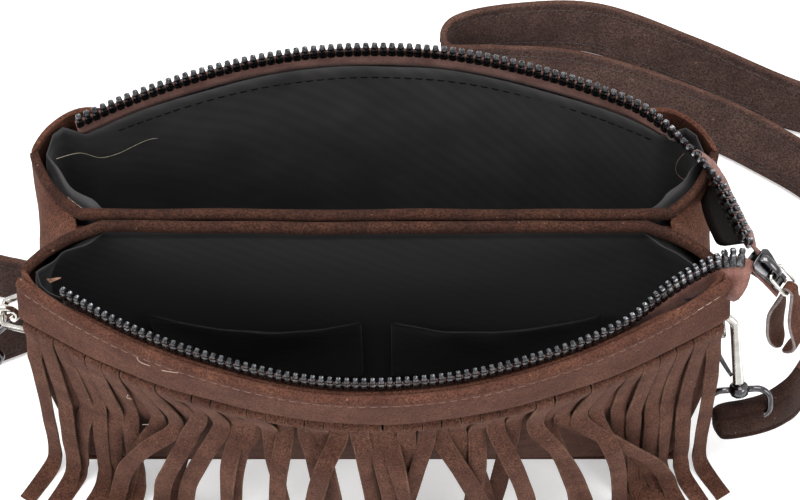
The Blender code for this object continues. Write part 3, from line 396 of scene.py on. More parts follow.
# The two divider walls, back to back between the pouches, and the soft roll that finishes each pouch's
# inner rim: a suede edge turned over the lining, which runs from corner to corner along gusset and divider.
DIVIDER_TOP = 0.1480
ROLL_WIDTH = 0.0041
ROLL_HEIGHT = 0.0056
ROLL_SAG = 0.0012
ROLL_SWAY = 0.0007
ROLL_BELOW_RIM = 0.0016
ROLL_BELOW_RIM_MIDDLE = 0.0034
ROLL_SHORT_OF_NOTCH = 0.005
ROLL_INSET = 0.0013
ROLL_GUSSET_SHARE = 0.474


def swept(name, path, section_at, material, up=Vector((0, 0, 1)), body="bag", closed=False):
    """A body of changing section along a path: section_at(share) gives its points to the side and up."""
    points, faces = [], []
    count = len(path)
    for index, spot in enumerate(path):
        after = path[(index + 1) % count] if closed or index + 1 < count else spot
        before = path[index - 1] if closed or index else spot
        along = (after - before).normalized()
        aside = along.cross(up).normalized()
        raised = aside.cross(along)
        section = section_at(index / (count - 1))
        points += [spot + aside * a + raised * b for a, b in section]
    ring = len(section)
    for index in range(count if closed else count - 1):
        for step in range(ring):
            beside = (step + 1) % ring
            here, there = index * ring, (index + 1) % count * ring
            faces.append([here + step, here + beside, there + beside, there + step])
    if not closed:
        faces.append([step for step in reversed(range(ring))])
        faces.append([(count - 1) * ring + step for step in range(ring)])
    return piece(name, points, faces, material, body=body)


def oval(width, height, sides=12):
    """The points of an oval section."""
    angles = [2 * math.pi * step / sides for step in range(sides)]
    return [(math.cos(angle) * width / 2, math.sin(angle) * height / 2) for angle in angles]


def along_gusset(hand, start, way):
    """A roll's middle where it lies along the top of a gusset."""
    spots = []
    for step in range(24):
        share = start + way * ROLL_GUSSET_SHARE * step / 23
        z = BAG_HEIGHT - ROLL_BELOW_RIM - (GUSSET_DROP - 0.002) * dip(share)
        spots.append(off_face(gusset_outline(hand), share, z, -ROLL_INSET))
    return spots


for label, side in (("rear", 1), ("front", -1)):
    rows = [[], []]
    for row in range(9):
        z = BASE_THICKNESS + CLEARANCE + (DIVIDER_TOP - BASE_THICKNESS) * row / 8
        end = notch_x(z) - PANEL_THICKNESS - CLEARANCE
        across = [end * (2 * step / 24 - 1) for step in range(25)]
        rows[0].append([Vector((x, side * CLEARANCE / 2, z)) for x in across])
        rows[1].append([Vector((x, side * (CLEARANCE / 2 + PANEL_THICKNESS), z)) for x in across])
    divider = two_skins("divider_wall_" + label + "_suede", rows[0], rows[1], SUEDE, smooth=False)
    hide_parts("divider_wall_" + label)
    path = along_gusset(1, 0.006, 1) if side < 0 else along_gusset(1, 0.994, -1)
    for step in range(1, 50):
        x = (notch_x(BAG_HEIGHT - GUSSET_DROP) - ROLL_SHORT_OF_NOTCH) * (1 - 2 * step / 50)
        y = side * (ROLL_WIDTH / 2 + CLEARANCE) + ROLL_SWAY * noise.noise(Vector((x * 30, side * 5.0, 0)))
        sag = ROLL_SAG * (1 - (x / 0.1) ** 2)
        path.append(Vector((x, y, BAG_HEIGHT - ROLL_BELOW_RIM_MIDDLE - sag)))
    path += along_gusset(-1, 0.52, 1) if side < 0 else along_gusset(-1, 0.48, -1)
    roll = swept(
        "rim_roll_" + label,
        path,
        lambda share: oval(
            ROLL_WIDTH * (0.72 + 0.28 * math.sin(math.pi * share) ** 0.35),
            ROLL_HEIGHT * (0.75 + 0.25 * math.sin(math.pi * share) ** 0.35),
        ),
        ROLL_SUEDE,
    )

# The linings: a thin black polyester twill bag in each pouch, sewn under the zip's tape and under the roll.
# It shines a little along its ribs and puckers where it is gathered into the pouch's upper corners.
LINING_BLACK = "#141315"
LINING_WORN = "#2b292a"
TWILL_MM = 0.9
WEAR_MM = 22
LINING_THICKNESS = 0.0005
BEHIND_TAPE = 0.0036
BESIDE_GUSSET = 0.0026
LINING_TOP_PANEL = 0.1555
LINING_TOP_ROLL = 0.1535
FLOOR = BASE_THICKNESS + 2 * CLEARANCE
LINING_LEVELS = 26
BARE_FROM = 0.885
BARE_RUN = 0.03
BARE_OUTWARD = 0.0016
LINING_CORNER_RISE = 0.0026
LINING_SLACK = 0.0009


def twill(name, dark, light):
    """Black lining cloth: slanted ribs, drawn at 0.9 mm because the real 0.3 mm ones are too fine to show."""
    made, tree, shader, place = started(name, Roughness=0.62, Specular_IOR_Level=0.35, Sheen_Weight=0.08)
    slope = node(tree, "ShaderNodeMapping", {"Rotation": (0.5, 0.7, 0.6)}, Vector=place)
    ribs = node(
        tree, "ShaderNodeTexWave", {"Scale": 1000 / TWILL_MM / 20, "Distortion": 0.6, "Detail": 1.0},
        Vector=slope.outputs[0],
    )
    shade = tone(tree, cloudy(tree, place, WEAR_MM, 3.0), 0.3, 0.75, linear(dark), linear(light))
    lines = tone(tree, ribs.outputs["Fac"], 0.2, 0.8, (0.80, 0.80, 0.80, 1), (1.15, 1.15, 1.15, 1))
    tree.links.new(mixed(tree, "MULTIPLY", 0.7, shade, lines), shader.inputs["Base Color"])
    dented(tree, shader, ribs.outputs["Fac"], 0.25, 0.0002)
    return made


TWILL = twill("black_polyester_twill", LINING_BLACK, LINING_WORN)
DEEP_TWILL = twill("black_polyester_twill_in_shade", "#070607", "#121112")

# Where the lining gathers by the rim of each pouch: place in x and y, how far it stands in, and how wide
GATHERS = {
    1: [(-0.112, 0.020, 0.0042, 0.006), (-0.103, 0.007, 0.0030, 0.004), (0.108, 0.010, 0.0034, 0.004),
        (0.113, 0.020, 0.0032, 0.004), (0.104, 0.030, 0.0022, 0.004)],
    -1: [(-0.113, -0.016, 0.0044, 0.005), (-0.104, -0.006, 0.0034, 0.004), (-0.108, -0.011, -0.001, 0.003),
         (0.110, -0.014, 0.0040, 0.006), (0.104, -0.006, 0.0026, 0.004)],
}


def pouch_ring(z, side, extra, count=64):
    """The closed line of a pouch's inside at a height: along the outer wall, then gusset, divider, gusset."""
    face, corner_face = rounded_outline(side, 0.11), rounded_outline(side)
    ring = []
    for step in range(count):
        share = 0.02 + 0.96 * step / (count - 1)
        # Bare near the corners, where the tape has left the wall and the lining stands close to the suede
        bare = clamped((abs(2 * share - 1) - BARE_FROM) / BARE_RUN)
        under_tape = off_face(face, share, z, -BEHIND_TAPE - extra)
        at_corner = off_face(corner_face, share, z, -BEHIND_TAPE + BARE_OUTWARD - extra)
        ring.append(under_tape.lerp(at_corner, bare))
    hands = (1, -1) if side < 0 else (-1, 1)
    wall_y = side * (CLEARANCE / 2 + PANEL_THICKNESS + CLEARANCE + extra)
    for hand, (start, end) in zip(hands, ((0.03, 0.44), (0.56, 0.97))):
        outline = gusset_outline(hand)
        shares = [start + (end - start) * step / 11 for step in range(12)]
        run = [off_face(outline, share, z, -BESIDE_GUSSET - extra) for share in shares]
        reach = notch_x(z) - BESIDE_GUSSET - extra - 0.001
        along_wall = [Vector((hand * reach * (1 - step / 12), wall_y, z)) for step in range(13)]
        run.sort(key=lambda p: -abs(p.y))
        ring += run + along_wall if hand == hands[0] else along_wall[::-1][1:] + run[::-1]
    return ring


def gathered(point, side, inward):
    """Pulls the lining in where it puckers, more toward the rim."""
    high = clamped((point.z - 0.085) / 0.06)
    pull = 0.0
    for x, y, depth, width in GATHERS[side]:
        near = math.exp(-(((point.x - x) ** 2 + (point.y - y) ** 2) / (2 * width * width)))
        pull += depth * near
    slack = LINING_SLACK * (0.6 + noise.noise(Vector((point.x * 40, point.y * 40, point.z * 30 + side))))
    return point + inward * (high * pull + slack)


for label, side in (("rear", 1), ("front", -1)):
    rings = []
    centre = Vector((0, side * 0.026, 0))
    for step in range(LINING_LEVELS):
        share = step / (LINING_LEVELS - 1)
        ring = []
        for point in pouch_ring(FLOOR + 0.0002 + (LINING_TOP_PANEL - FLOOR) * share, side, LINING_THICKNESS):
            near_roll = 1 - min(1.0, abs(point.y) / 0.020)
            # The edge stands higher in the pouch's outer corners, but lower in the front right one
            corner = clamped((abs(point.x) - 0.106) / 0.006) * clamped((abs(point.y) - 0.008) / 0.010)
            if side < 0 and point.x > 0:
                corner *= -0.8
            top = LINING_TOP_PANEL + (LINING_TOP_ROLL - LINING_TOP_PANEL) * near_roll
            top += LINING_CORNER_RISE * corner
            z = FLOOR + (top - FLOOR) * share
            inward = Vector((-point.x * 0.35, centre.y - point.y, 0))
            if abs(point.x) > 0.098:
                inward = Vector((-point.x, centre.y - point.y, 0))
            inward = inward.normalized() if inward.length > 0.0001 else Vector((0, side, 0))
            ring.append(gathered(Vector((point.x, point.y, z)), side, inward))
        rings.append(ring)
    points = [point for ring in rings for point in ring]
    count = len(rings[0])
    faces = [[step for step in range(count)]]
    for level in range(LINING_LEVELS - 1):
        for step in range(count):
            beside = (step + 1) % count
            a, b = level * count, (level + 1) * count
            faces.append([a + beside, a + step, b + step, b + beside])
    lining = piece(label + "_lining_twill", points, faces, TWILL if side > 0 else DEEP_TWILL)
    thick = lining.modifiers.new("cloth", "SOLIDIFY")
    thick.thickness = LINING_THICKNESS
    thick.offset = 1.0
    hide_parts(label + "_lining")

# Two slip pockets of the same twill, sewn flat to the divider side of the front pouch. Their hemmed tops
# hang open a little, higher at the outer corner.
POCKET_GAP = 0.011
POCKET_WIDTH = 0.080
POCKET_TOP = 0.088
POCKET_BOTTOM = 0.022
POCKET_FACE = 0.0042
POCKET_BOW = 0.0075
POCKET_SLOPE = 0.010
POCKET_SAG = 0.002
POCKET_RIPPLE = 0.0008
POCKET_THICKNESS = 0.0008
HEM_THICKNESS = 0.0006


def pocket_spots(hand):
    """The two skins of a pocket: u runs across it from -1 to 1, and v runs from its bottom to its hem."""

    def at(row, column):
        u, v = 2 * column / 24 - 1, row / 14
        top = POCKET_TOP - POCKET_SLOPE * max(0.0, -hand * u * 0.5 + 0.35) ** 1.6 - POCKET_SAG * u * u
        bow = POCKET_BOW * (1 - u * u) * v ** 3
        bow += POCKET_RIPPLE * noise.noise(Vector((u * 3, v * 3, hand)))
        x = hand * (POCKET_GAP + POCKET_WIDTH) / 2 + u * POCKET_WIDTH / 2
        z = POCKET_BOTTOM + (top - POCKET_BOTTOM) * v
        hem = HEM_THICKNESS if row > 12 else 0.0
        y = -POCKET_FACE - bow
        return Vector((x, y - POCKET_THICKNESS - hem, z)), Vector((x, y, z))

    return two_grids(15, 25, at)


for label, hand in (("left", -1), ("right", 1)):
    outer, inner = pocket_spots(hand)
    pocket = softened(two_skins("slip_pocket_" + label + "_twill", outer, inner, DEEP_TWILL))
    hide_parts("slip_pocket_" + label)

# The fringe: one sheet of suede under the band, cut from its seam into 39 strips about 6.5 mm wide. Each
# strip hangs down the front, breaks outward in a fold and falls to the floor, turned a little its own way.
BAND_HEIGHT = 0.027
STRIP_COUNT = 39
STRIP_WIDTH_SHARE = 0.975
STRIP_THICKNESS = 0.0012
SEAM_PUFF = 0.0032
STRIP_LENGTH = 0.150
STRIP_ON_PANEL = 0.022
STRIP_ON_PANEL_MORE = 0.030
END_STRIP_ON_PANEL = 0.036
SPREAD_FROM_X = 0.055
STEADY_FROM_X = 0.088
FLOOR_GAP = 0.0004
SEAM_Z = BAG_HEIGHT - BAND_HEIGHT
strips_rng = random.Random(41)


def smooth_step(p, q, r, s, t):
    """A number on the smooth curve from q to r, whose neighbours are p and s."""
    return 0.5 * (2 * q + (r - p) * t + (2 * p - 5 * q + 4 * r - s) * t * t + (3 * q - p - 3 * r + s) * t**3)


def curve_through(stops, steps):
    """Points along a smooth curve through the stops; each stop is a list of numbers."""
    line = []
    for index in range(len(stops) - 1):
        a = stops[max(index - 1, 0)]
        b, c = stops[index], stops[index + 1]
        d = stops[min(index + 2, len(stops) - 1)]
        for step in range(steps):
            t = step / steps
            line.append([smooth_step(p, q, r, s, t) for p, q, r, s in zip(a, b, c, d)])
    line.append(list(stops[-1]))
    return line


def neighbours(line, index):
    """The entries before and after one in a line, or the entry itself at either end."""
    return line[max(index - 1, 0)], line[min(index + 1, len(line) - 1)]


def lengths_along(spots):
    """How far along its line each point lies."""
    walked = [0.0]
    for a, b in zip(spots, spots[1:]):
        walked.append(walked[-1] + (b - a).length)
    return walked


def ribbon(points, faces, edges, stations, thickness):
    """Adds a soft-edged strip; a station is its middle, its width's direction and size, and its face."""
    first = len(points)
    for spot, wide, width, facing in stations:
        a, b = width / 2, thickness / 2
        soft = min(a, b) * 0.7
        ring = [(-a + soft, b), (a - soft, b), (a, b - soft), (a, -b + soft)]
        ring += [(a - soft, -b), (-a + soft, -b), (-a, -b + soft), (-a, b - soft)]
        points += [spot + wide * u + facing * v for u, v in ring]
    for index in range(len(stations) - 1):
        for step in range(8):
            beside = (step + 1) % 8
            here, there = first + index * 8, first + (index + 1) * 8
            if step not in (0, 4):
                edges.append(len(faces))
            faces.append([here + step, there + step, there + beside, here + beside])
    last = first + (len(stations) - 1) * 8
    edges += [len(faces), len(faces) + 1]
    faces.append([first + step for step in range(8)])
    faces.append([last + step for step in reversed(range(8))])


def rim_steps(count, margin):
    """Shares of the front panel's outline at even lengths along the seam."""
    face = panel_outline(-1)
    fine = [margin + (1 - 2 * margin) * step / 400 for step in range(401)]
    walked = lengths_along([face(share, SEAM_Z) for share in fine])
    shares, index = [], 0
    for step in range(count):
        wanted = walked[-1] * step / (count - 1)
        while index < 399 and walked[index + 1] < wanted:
            index += 1
        shares.append(fine[index])
    return shares, walked[-1] / (count - 1)


def hanging_strip(share, pitch, index):
    """One strip of the fringe: it lies on the panel, kicks outward in a fold, and falls to the floor."""
    face = panel_outline(-1)
    draw = strips_rng.uniform
    root = off_face(face, share, SEAM_Z, 0.0)
    ahead = off_face(face, min(share + 0.01, 1), SEAM_Z, 0.0)
    along = (ahead - off_face(face, max(share - 0.01, 0), SEAM_Z, 0.0)).normalized()
    out = Vector((along.y, -along.x, 0))
    # How much of it lies on the panel, how far it then kicks out, and how it turns and leans to the side
    lift = 0.0010 + (0.0016 if index % 3 == 1 else 0.0) * draw(0.3, 1.0)
    hand = 1 if root.x > 0 else -1
    on_panel = STRIP_ON_PANEL + STRIP_ON_PANEL_MORE * min(1.3, (root.x / 0.085) ** 2) + draw(-0.004, 0.006)
    kick = draw(0.002, 0.005) + 0.0028 * (index % 3)
    kick_drop = draw(0.014, 0.026)
    turn = draw(-0.45, 0.45) if index % 4 else draw(-0.9, 0.9)
    early = -hand * on_panel * draw(0.02, 0.10)
    lean = early + root.x * 0.12 + draw(-0.015, 0.015)
    # Half-way out they spread toward the corner, and the last few by the corner hang straight
    if SPREAD_FROM_X < abs(root.x) < STEADY_FROM_X:
        lean += hand * draw(0.006, 0.016)
    if abs(root.x) > STEADY_FROM_X:
        kick = draw(0.001, 0.003)
        early = hand * draw(0.0, 0.002)
        lean = hand * draw(0.002, 0.007)
        turn *= 0.4
    if index in (0, STRIP_COUNT - 1):
        on_panel, early, lean = END_STRIP_ON_PANEL, hand * 0.003, hand * 0.005
    level = SEAM_Z - on_panel
    here = panel_y(root.x, SEAM_Z, -1)
    on_face = panel_y(root.x, level, -1) - here
    half_face = panel_y(root.x, SEAM_Z - on_panel * 0.5, -1) - here
    floor_z = STRIP_THICKNESS / 2 + FLOOR_GAP
    used = on_panel + math.hypot(kick, kick_drop) + level - kick_drop
    lying = max(0.006, STRIP_LENGTH - used + draw(-0.004, 0.004))
    # Each stop is how far out it stands, how far aside, its height and its turn: under the band and over the
    # seam, down the panel, out in the fold, falling free, and along the floor.
    stops = [
        [CLEARANCE + 0.0008, 0.0, SEAM_Z + 0.006, 0.0],
        [CLEARANCE + 0.0006, 0.0, SEAM_Z - 0.001, 0.0],
        [CLEARANCE + SEAM_PUFF, 0.0, SEAM_Z - 0.0042, 0.0],
        [half_face + lift, early * 0.5, SEAM_Z - on_panel * 0.5, 0.0],
        [on_face + lift, early, level + 0.0050, turn * 0.04],
        [on_face + lift + kick * 0.24, early + lean * 0.06, level - 0.0035, turn * 0.18],
        [on_face + lift + kick, lean * 0.45 + early * 0.4, level - kick_drop, turn * 0.65],
        [on_face + lift + kick + 0.002, lean * 0.85, (level - kick_drop) * 0.62, turn],
        [on_face + lift + kick + 0.003, lean * 1.1, (level - kick_drop) * 0.30, turn * 0.9],
        [on_face + lift + kick + 0.0045, lean * 1.2, floor_z + 0.007, turn * 0.5],
        [on_face + lift + kick + 0.009, lean * 1.25, floor_z, 0.0],
        [on_face + lift + kick + 0.006 + lying, lean * 1.3, floor_z, 0.0],
    ]
    line = curve_through(stops, 5)
    width = pitch * STRIP_WIDTH_SHARE
    stations = []
    for step, (away, aside, z, angle) in enumerate(line):
        before, after = neighbours(line, step)
        run = out * (after[0] - before[0]) + along * (after[1] - before[1])
        run = (run + Vector((0, 0, after[2] - before[2]))).normalized()
        square = (along - run * along.dot(run)).normalized()
        facing = run.cross(square)
        wide = square * math.cos(angle) + facing * math.sin(angle)
        turned = facing * math.cos(angle) - square * math.sin(angle)
        middle = Vector((root.x, root.y, 0)) + out * away + along * aside + Vector((0, 0, z))
        broader = 1.0 + 0.06 * min(1.0, step / 22)
        uneven = 0.985 + 0.03 * math.sin(step * 0.9 + index)
        stations.append((middle, wide, width * broader * uneven, turned))
    return stations


fringe_points, fringe_faces, fringe_edges = [], [], []
strip_shares, strip_pitch = rim_steps(STRIP_COUNT, 0.016)
for index, share in enumerate(strip_shares):
    strip = hanging_strip(share, strip_pitch, index)
    ribbon(fringe_points, fringe_faces, fringe_edges, strip, STRIP_THICKNESS)
fringe_suedes = [FRINGE_SUEDE, CUT_EDGE]
fringe = piece("fringe_strips", fringe_points, fringe_faces, fringe_suedes, edge_faces=fringe_edges)
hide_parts("fringe")

# The smooth band over the top of the fringe: a folded suede strip with a soft rolled top, sewn through band,
# panel and tape with one row of brown thread 3 mm below the edge. Its lower edge is folded under.
STITCH_DROP = 0.0030
BAND_FACE = 0.0034
BAND_GAP = 0.0004
THREAD_TWIST_MM = 0.5
BAND_UNEVEN = 0.0006
BAND_RISE = 0.0012

# The band's face from its folded lower edge to its soft top: height over the seam, and how far out it stands
band_profile = [(0.0, 0.0012), (0.0008, 0.0027), (0.0024, 0.0036), (0.0052, 0.0036), (0.0110, 0.0031)]
band_profile += [(0.0160, 0.0030), (0.0195, 0.0030), (0.0208, 0.0026), (0.0222, 0.0030), (0.0243, 0.0036)]
band_profile += [(0.0258, 0.0033), (0.0268, 0.0018), (0.0270, 0.0004)]
band_outline = panel_outline(-1)


def band_spots(row, column):
    """A point of the band's face and the point behind it, just off the panel."""
    height, out = band_profile[row]
    share = column / 140
    spot = band_outline(share, SEAM_Z + height)
    soft = BAND_UNEVEN * noise.noise(Vector((spot.x * 45, height * 90, 3.1)))
    z = SEAM_Z + height + BAND_RISE * min(1.0, height / 0.02)
    back_z = min(z, BAG_HEIGHT + BAND_GAP)
    return off_face(band_outline, share, z, out + soft), off_face(band_outline, share, back_z, BAND_GAP)


outer, inner = two_grids(len(band_profile), 141, band_spots)
band = softened(two_skins("front_band_suede", outer, inner, BAND_SUEDE))
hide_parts("front_band")


def thread(name, colour, roughness=0.7, sheen=0.2, shine=0.5):
    """Twisted thread, darker in the hollows of its twist."""
    made, tree, shader, place = started(
        name, Roughness=roughness, Sheen_Weight=sheen, Specular_IOR_Level=shine
    )
    twist = cloudy(tree, place, THREAD_TWIST_MM, 1.0)
    dark = tuple(channel * 0.6 for channel in linear(colour)[:3]) + (1.0,)
    shade = tone(tree, twist, 0.35, 0.6, dark, linear(colour))
    tree.links.new(shade, shader.inputs["Base Color"])
    return made


def stitches(name, spots, facings, material, long=0.0024, every=0.0034, width=0.00032):
    """A row of sewn stitches: short lengths of thread, sunk at both ends, along a line of points."""
    points, faces = [], []
    walked, due = 0.0, 0.0
    for index in range(len(spots) - 1):
        a, b = spots[index], spots[index + 1]
        walked += (b - a).length
        if walked < due:
            continue
        due = walked + every
        along = (b - a).normalized()
        facing = facings[index]
        aside = along.cross(facing).normalized()
        first = len(points)
        for step in range(5):
            t = step / 4 - 0.5
            sunk = width * (0.9 - 3.2 * t * t)
            middle = a + along * (t * long) + facing * sunk * 0.5
            for corner in range(5):
                angle = 2 * math.pi * corner / 5
                points.append(middle + (aside * math.cos(angle) + facing * math.sin(angle)) * width / 2)
        for step in range(4):
            for corner in range(5):
                beside = (corner + 1) % 5
                here, there = first + step * 5, first + (step + 1) * 5
                faces.append([here + corner, here + beside, there + beside, there + corner])
    return piece(name, points, faces, material)


BROWN_THREAD = thread("brown_polyester_thread", "#8a6152")
CREAM_THREAD = thread("cream_polyester_thread", "#b99f8c")
LINING_THREAD = thread("black_lining_thread", "#070606", 0.9, sheen=0.0, shine=0.05)
BLACK_THREAD = thread("black_polyester_thread", "#1f1a19", 0.5)


def along_front(start, end, z, out, steps=300):
    """Points along the front wall at one height, and which way the wall faces at each."""
    shares = [start + (end - start) * step / steps for step in range(steps + 1)]
    spots = [off_face(band_outline, share, z, out) for share in shares]
    facings = [
        off_face(band_outline, share, z, 1.0) - off_face(band_outline, share, z, 0.0) for share in shares
    ]
    return spots, facings


spots, facings = along_front(0.02, 0.95, BAG_HEIGHT - STITCH_DROP, BAND_FACE - 0.0001)
stitches("band_stitches", spots, facings, BROWN_THREAD, width=0.00026)
spots, facings = along_front(0.952, 0.985, BAG_HEIGHT - STITCH_DROP + 0.001, BAND_FACE)
stitches("band_end_stitches", spots, facings, CREAM_THREAD)

# The zip: two woven tapes with die-cast teeth clamped on their edges. Each tape is sewn inside its rim, then
# runs free round the right-hand corner of its pouch, where the two come together in the slider.
TAPE_WIDTH = 0.0125
TAPE_THICKNESS = 0.0006
TAPE_ABOVE_RIM = 0.0035
START_X = {1: -0.106, -1: -0.107}
LEAVE_X = {1: 0.098, -1: 0.087}
SEWN_TO = {1: 0.1185, -1: 0.1190}
TEETH_PER_SIDE = 88
ZIP_MOUTH = (0.1295, -0.0165, -0.0010)
ZIP_HEADING_DEG = -35.0
ZIP_DROOP_DEG = 35.0
ZIP_TAIL = 0.0095
ZIP_END_HALF_GAP = 0.0018
TAPE_SEAM_DROP = 0.004
TAPE_SEAM_INSET = 0.0012
ZIP_STEPS = 360
REAR_HANG = Vector((-0.38, -0.22, -0.88))
FRONT_SPREAD = Vector((0.20, -0.86, -0.48))
FRONT_SPREAD_MORE = 0.0075
CORD_RADIUS = 0.00045
WEAVE_MM = 0.7
FADED_MM = 6
# The free cloth between seam and slider bows out at the rear, and a little the other way at the front
FREE_TAPE_BOW = {1: 0.0052, -1: -0.16 * 0.0052}
SLIDER_LENGTH = 0.0110
FREE_STOPS = {
    1: [(0.1135, 0.0200), (0.1215, 0.0050), (0.1262, -0.0070)],
    -1: [(0.0985, -0.0300), (0.1080, -0.0235), (0.1180, -0.0182), (0.1242, -0.0172)],
}

slider_place = (
    Matrix.Translation((ZIP_MOUTH[0], ZIP_MOUTH[1], BAG_HEIGHT + TAPE_ABOVE_RIM + ZIP_MOUTH[2]))
    @ Matrix.Rotation(math.radians(ZIP_HEADING_DEG), 4, "Z")
    @ Matrix.Rotation(math.radians(ZIP_DROOP_DEG), 4, "Y")
    @ Matrix.Translation((SLIDER_LENGTH / 2, 0, 0))
)


def woven(name, dark, light, sheen=0.15, shine=0.35):
    """Woven polyester zip tape with a slight satin: fine ribs across it, drawn at 0.7 mm to show."""
    made, tree, shader, place = started(
        name, Roughness=0.55, Specular_IOR_Level=shine, Sheen_Weight=sheen
    )
    weave = node(tree, "ShaderNodeTexVoronoi", {"Scale": 1000 / WEAVE_MM}, Vector=place)
    shade = tone(tree, cloudy(tree, place, FADED_MM, 3.0), 0.3, 0.7, linear(dark), linear(light))
    cells = tone(tree, weave.outputs["Distance"], 0.1, 0.7, (1.1, 1.1, 1.1, 1), (0.62, 0.6, 0.6, 1))
    tree.links.new(mixed(tree, "MULTIPLY", 0.75, shade, cells), shader.inputs["Base Color"])
    dented(tree, shader, weave.outputs["Distance"], 0.45, 0.0002, invert=True)
    return made


TAPE = woven("woven_polyester_tape", "#663f36", "#8b6257")
# A near-black copy of the tape with no sheen: painted shade for the rear tape's free inner face
TAPE_PAINTED_SHADE = woven("woven_tape_painted_shade", "#070504", "#0f0a08", sheen=0.0, shine=0.1)


def zip_edge(side):
    """The toothed edge of a tape, as evenly spaced points from its start to its end past the slider."""
    inward = PANEL_THICKNESS + 2 * CLEARANCE + TAPE_THICKNESS / 2
    face = panel_outline(side)
    level = BAG_HEIGHT + TAPE_ABOVE_RIM
    stops = []
    for step in range(13):
        x = START_X[side] + (LEAVE_X[side] - START_X[side]) * step / 12
        share = (1 - side * x / half_width(BAG_HEIGHT)) / 2
        spot = off_face(face, share, BAG_HEIGHT, -inward)
        stops.append([spot.x, spot.y - side * (0.0009 if step == 12 else 0.0), level])
    stops += [[x, y, level] for x, y in FREE_STOPS[side]]
    for ahead in (-SLIDER_LENGTH / 2, 0.0, SLIDER_LENGTH / 2 + ZIP_TAIL / 2):
        stops.append(list(slider_place @ Vector((ahead, side * ZIP_END_HALF_GAP, 0))))
    fine = [Vector(p) for p in curve_through(stops, 24)]
    walked = lengths_along(fine)
    even, index = [], 0
    for step in range(ZIP_STEPS + 1):
        wanted = walked[-1] * step / ZIP_STEPS
        while index < len(fine) - 2 and walked[index + 1] < wanted:
            index += 1
        span = walked[index + 1] - walked[index]
        even.append(fine[index].lerp(fine[index + 1], (wanted - walked[index]) / span if span else 0.0))
    return even, walked[-1]


def sewn_place(side, length):
    """Where the tape's lower edge is sewn inside the rim, a length on from where the teeth leave it."""
    face = panel_outline(side)
    x = LEAVE_X[side]
    last = None
    walked = 0.0
    while x < SEWN_TO[side]:
        share = (1 - side * x / half_width(BAG_HEIGHT)) / 2
        spot = off_face(face, share, BAG_HEIGHT - TAPE_SEAM_DROP, -PANEL_THICKNESS - TAPE_SEAM_INSET)
        if last is not None:
            walked += (spot - last).length
        if walked >= length:
            return spot, False
        last = spot
        x += 0.0004
    return last, True


def tape_cloth(side, line, length):
    """The direction and width of the tape's cloth from its toothed edge at each point."""
    runs = []
    leave = next(index for index, p in enumerate(line) if p.x > LEAVE_X[side])
    mouth = next(
        index for index, p in enumerate(line)
        if index > leave and (slider_place.inverted() @ p).x > -SLIDER_LENGTH / 2 - 0.0012
    )
    step = length / (len(line) - 1)
    flat = (slider_place.to_3x3() @ Vector((0, side, 0))).normalized()
    freed = None
    for index, spot in enumerate(line):
        lean = Vector((0, side * 0.02, -1)).normalized()
        if index <= leave:
            runs.append(lean * TAPE_WIDTH)
            continue
        # Up to where the sewing ends the cloth reaches to its seam, and beyond it runs free into the slider
        target, past = sewn_place(side, (index - leave) * step)
        toward = target + Vector((0, 0, -0.003)) - spot
        if not past:
            full = toward.normalized() * max(TAPE_WIDTH, toward.length)
            share = min(1.0, (index - leave) * step / 0.010)
            runs.append((lean * TAPE_WIDTH).lerp(full, share))
            continue
        if freed is None:
            freed = index
        share = min(1.0, (index - freed) / max(1, mouth - freed))
        ended = clamped((index - mouth + 11) / 9)
        # The rear tape hangs down on its way, and the front one spreads forward
        if side > 0:
            reach = toward.normalized().lerp(REAR_HANG.normalized(), min(1.0, share * 2.2)).normalized()
            reach = reach.lerp(flat, max(0.0, share * 4.0 - 3.0) * 0.8).normalized()
            wide = TAPE_WIDTH * (1.15 - 1.03 * ended)
        else:
            reach = toward.normalized().lerp(FRONT_SPREAD.normalized(), min(1.0, share * 1.6)).normalized()
            reach = reach.lerp(flat, max(0.0, share * 4.0 - 3.0) * 0.8).normalized()
            late = clamped((index - mouth + 5) / 5)
            broadest = FRONT_SPREAD_MORE * math.sin(math.pi * min(1.0, share * 0.85)) ** 2
            wide = (TAPE_WIDTH + broadest) * (1 - 0.82 * late)
        runs.append(reach * wide)
    smoothed = []
    for index in range(len(runs)):
        near = runs[max(0, index - 5) : index + 6]
        smoothed.append(sum(near, Vector()) / len(near))
    return smoothed, mouth


TOOTH_HALF_LENGTH = 0.00142
TOOTH_HALF_DEPTH = 0.00140
TOOTH_DIMPLE = 0.0005
# A tooth from its legs to its head: how far down the tape, and the shares of its length and depth
TOOTH_LEVELS = [
    (0.0033, 0.84, 0.90), (0.0030, 1.00, 1.0), (0.0006, 0.90, 1.0), (-0.0006, 0.80, 0.90),
    (-0.0011, 0.58, 0.72), (-0.0016, 0.70, 0.82), (-0.0026, 0.70, 0.82), (-0.0031, 0.50, 0.60),
]


def tooth(points, faces, place, along, down, through):
    """One die-cast tooth: two legs clamped over the tape's edge, a neck, and a rounded head with a dimple."""
    first = len(points)
    for drop, half_long, half_deep in TOOTH_LEVELS:
        a, b = half_long * TOOTH_HALF_LENGTH, half_deep * TOOTH_HALF_DEPTH
        ring = [(-a, b * 0.6), (-a * 0.6, b), (a * 0.6, b), (a, b * 0.6), (a, -b * 0.6), (a * 0.6, -b)]
        ring += [(-a * 0.6, -b), (-a, -b * 0.6)]
        points.extend(place + down * drop + along * u + through * v for u, v in ring)
    for level in range(len(TOOTH_LEVELS) - 1):
        for step in range(8):
            beside = (step + 1) % 8
            here, there = first + level * 8, first + (level + 1) * 8
            faces.append([here + step, here + beside, there + beside, there + step])
    last = first + (len(TOOTH_LEVELS) - 1) * 8
    points.append(place + down * (TOOTH_LEVELS[-1][0] + TOOTH_DIMPLE))
    centre = len(points) - 1
    for step in range(8):
        faces.append([last + step, last + (step + 1) % 8, centre])
    faces.append([first + step for step in reversed(range(8))])


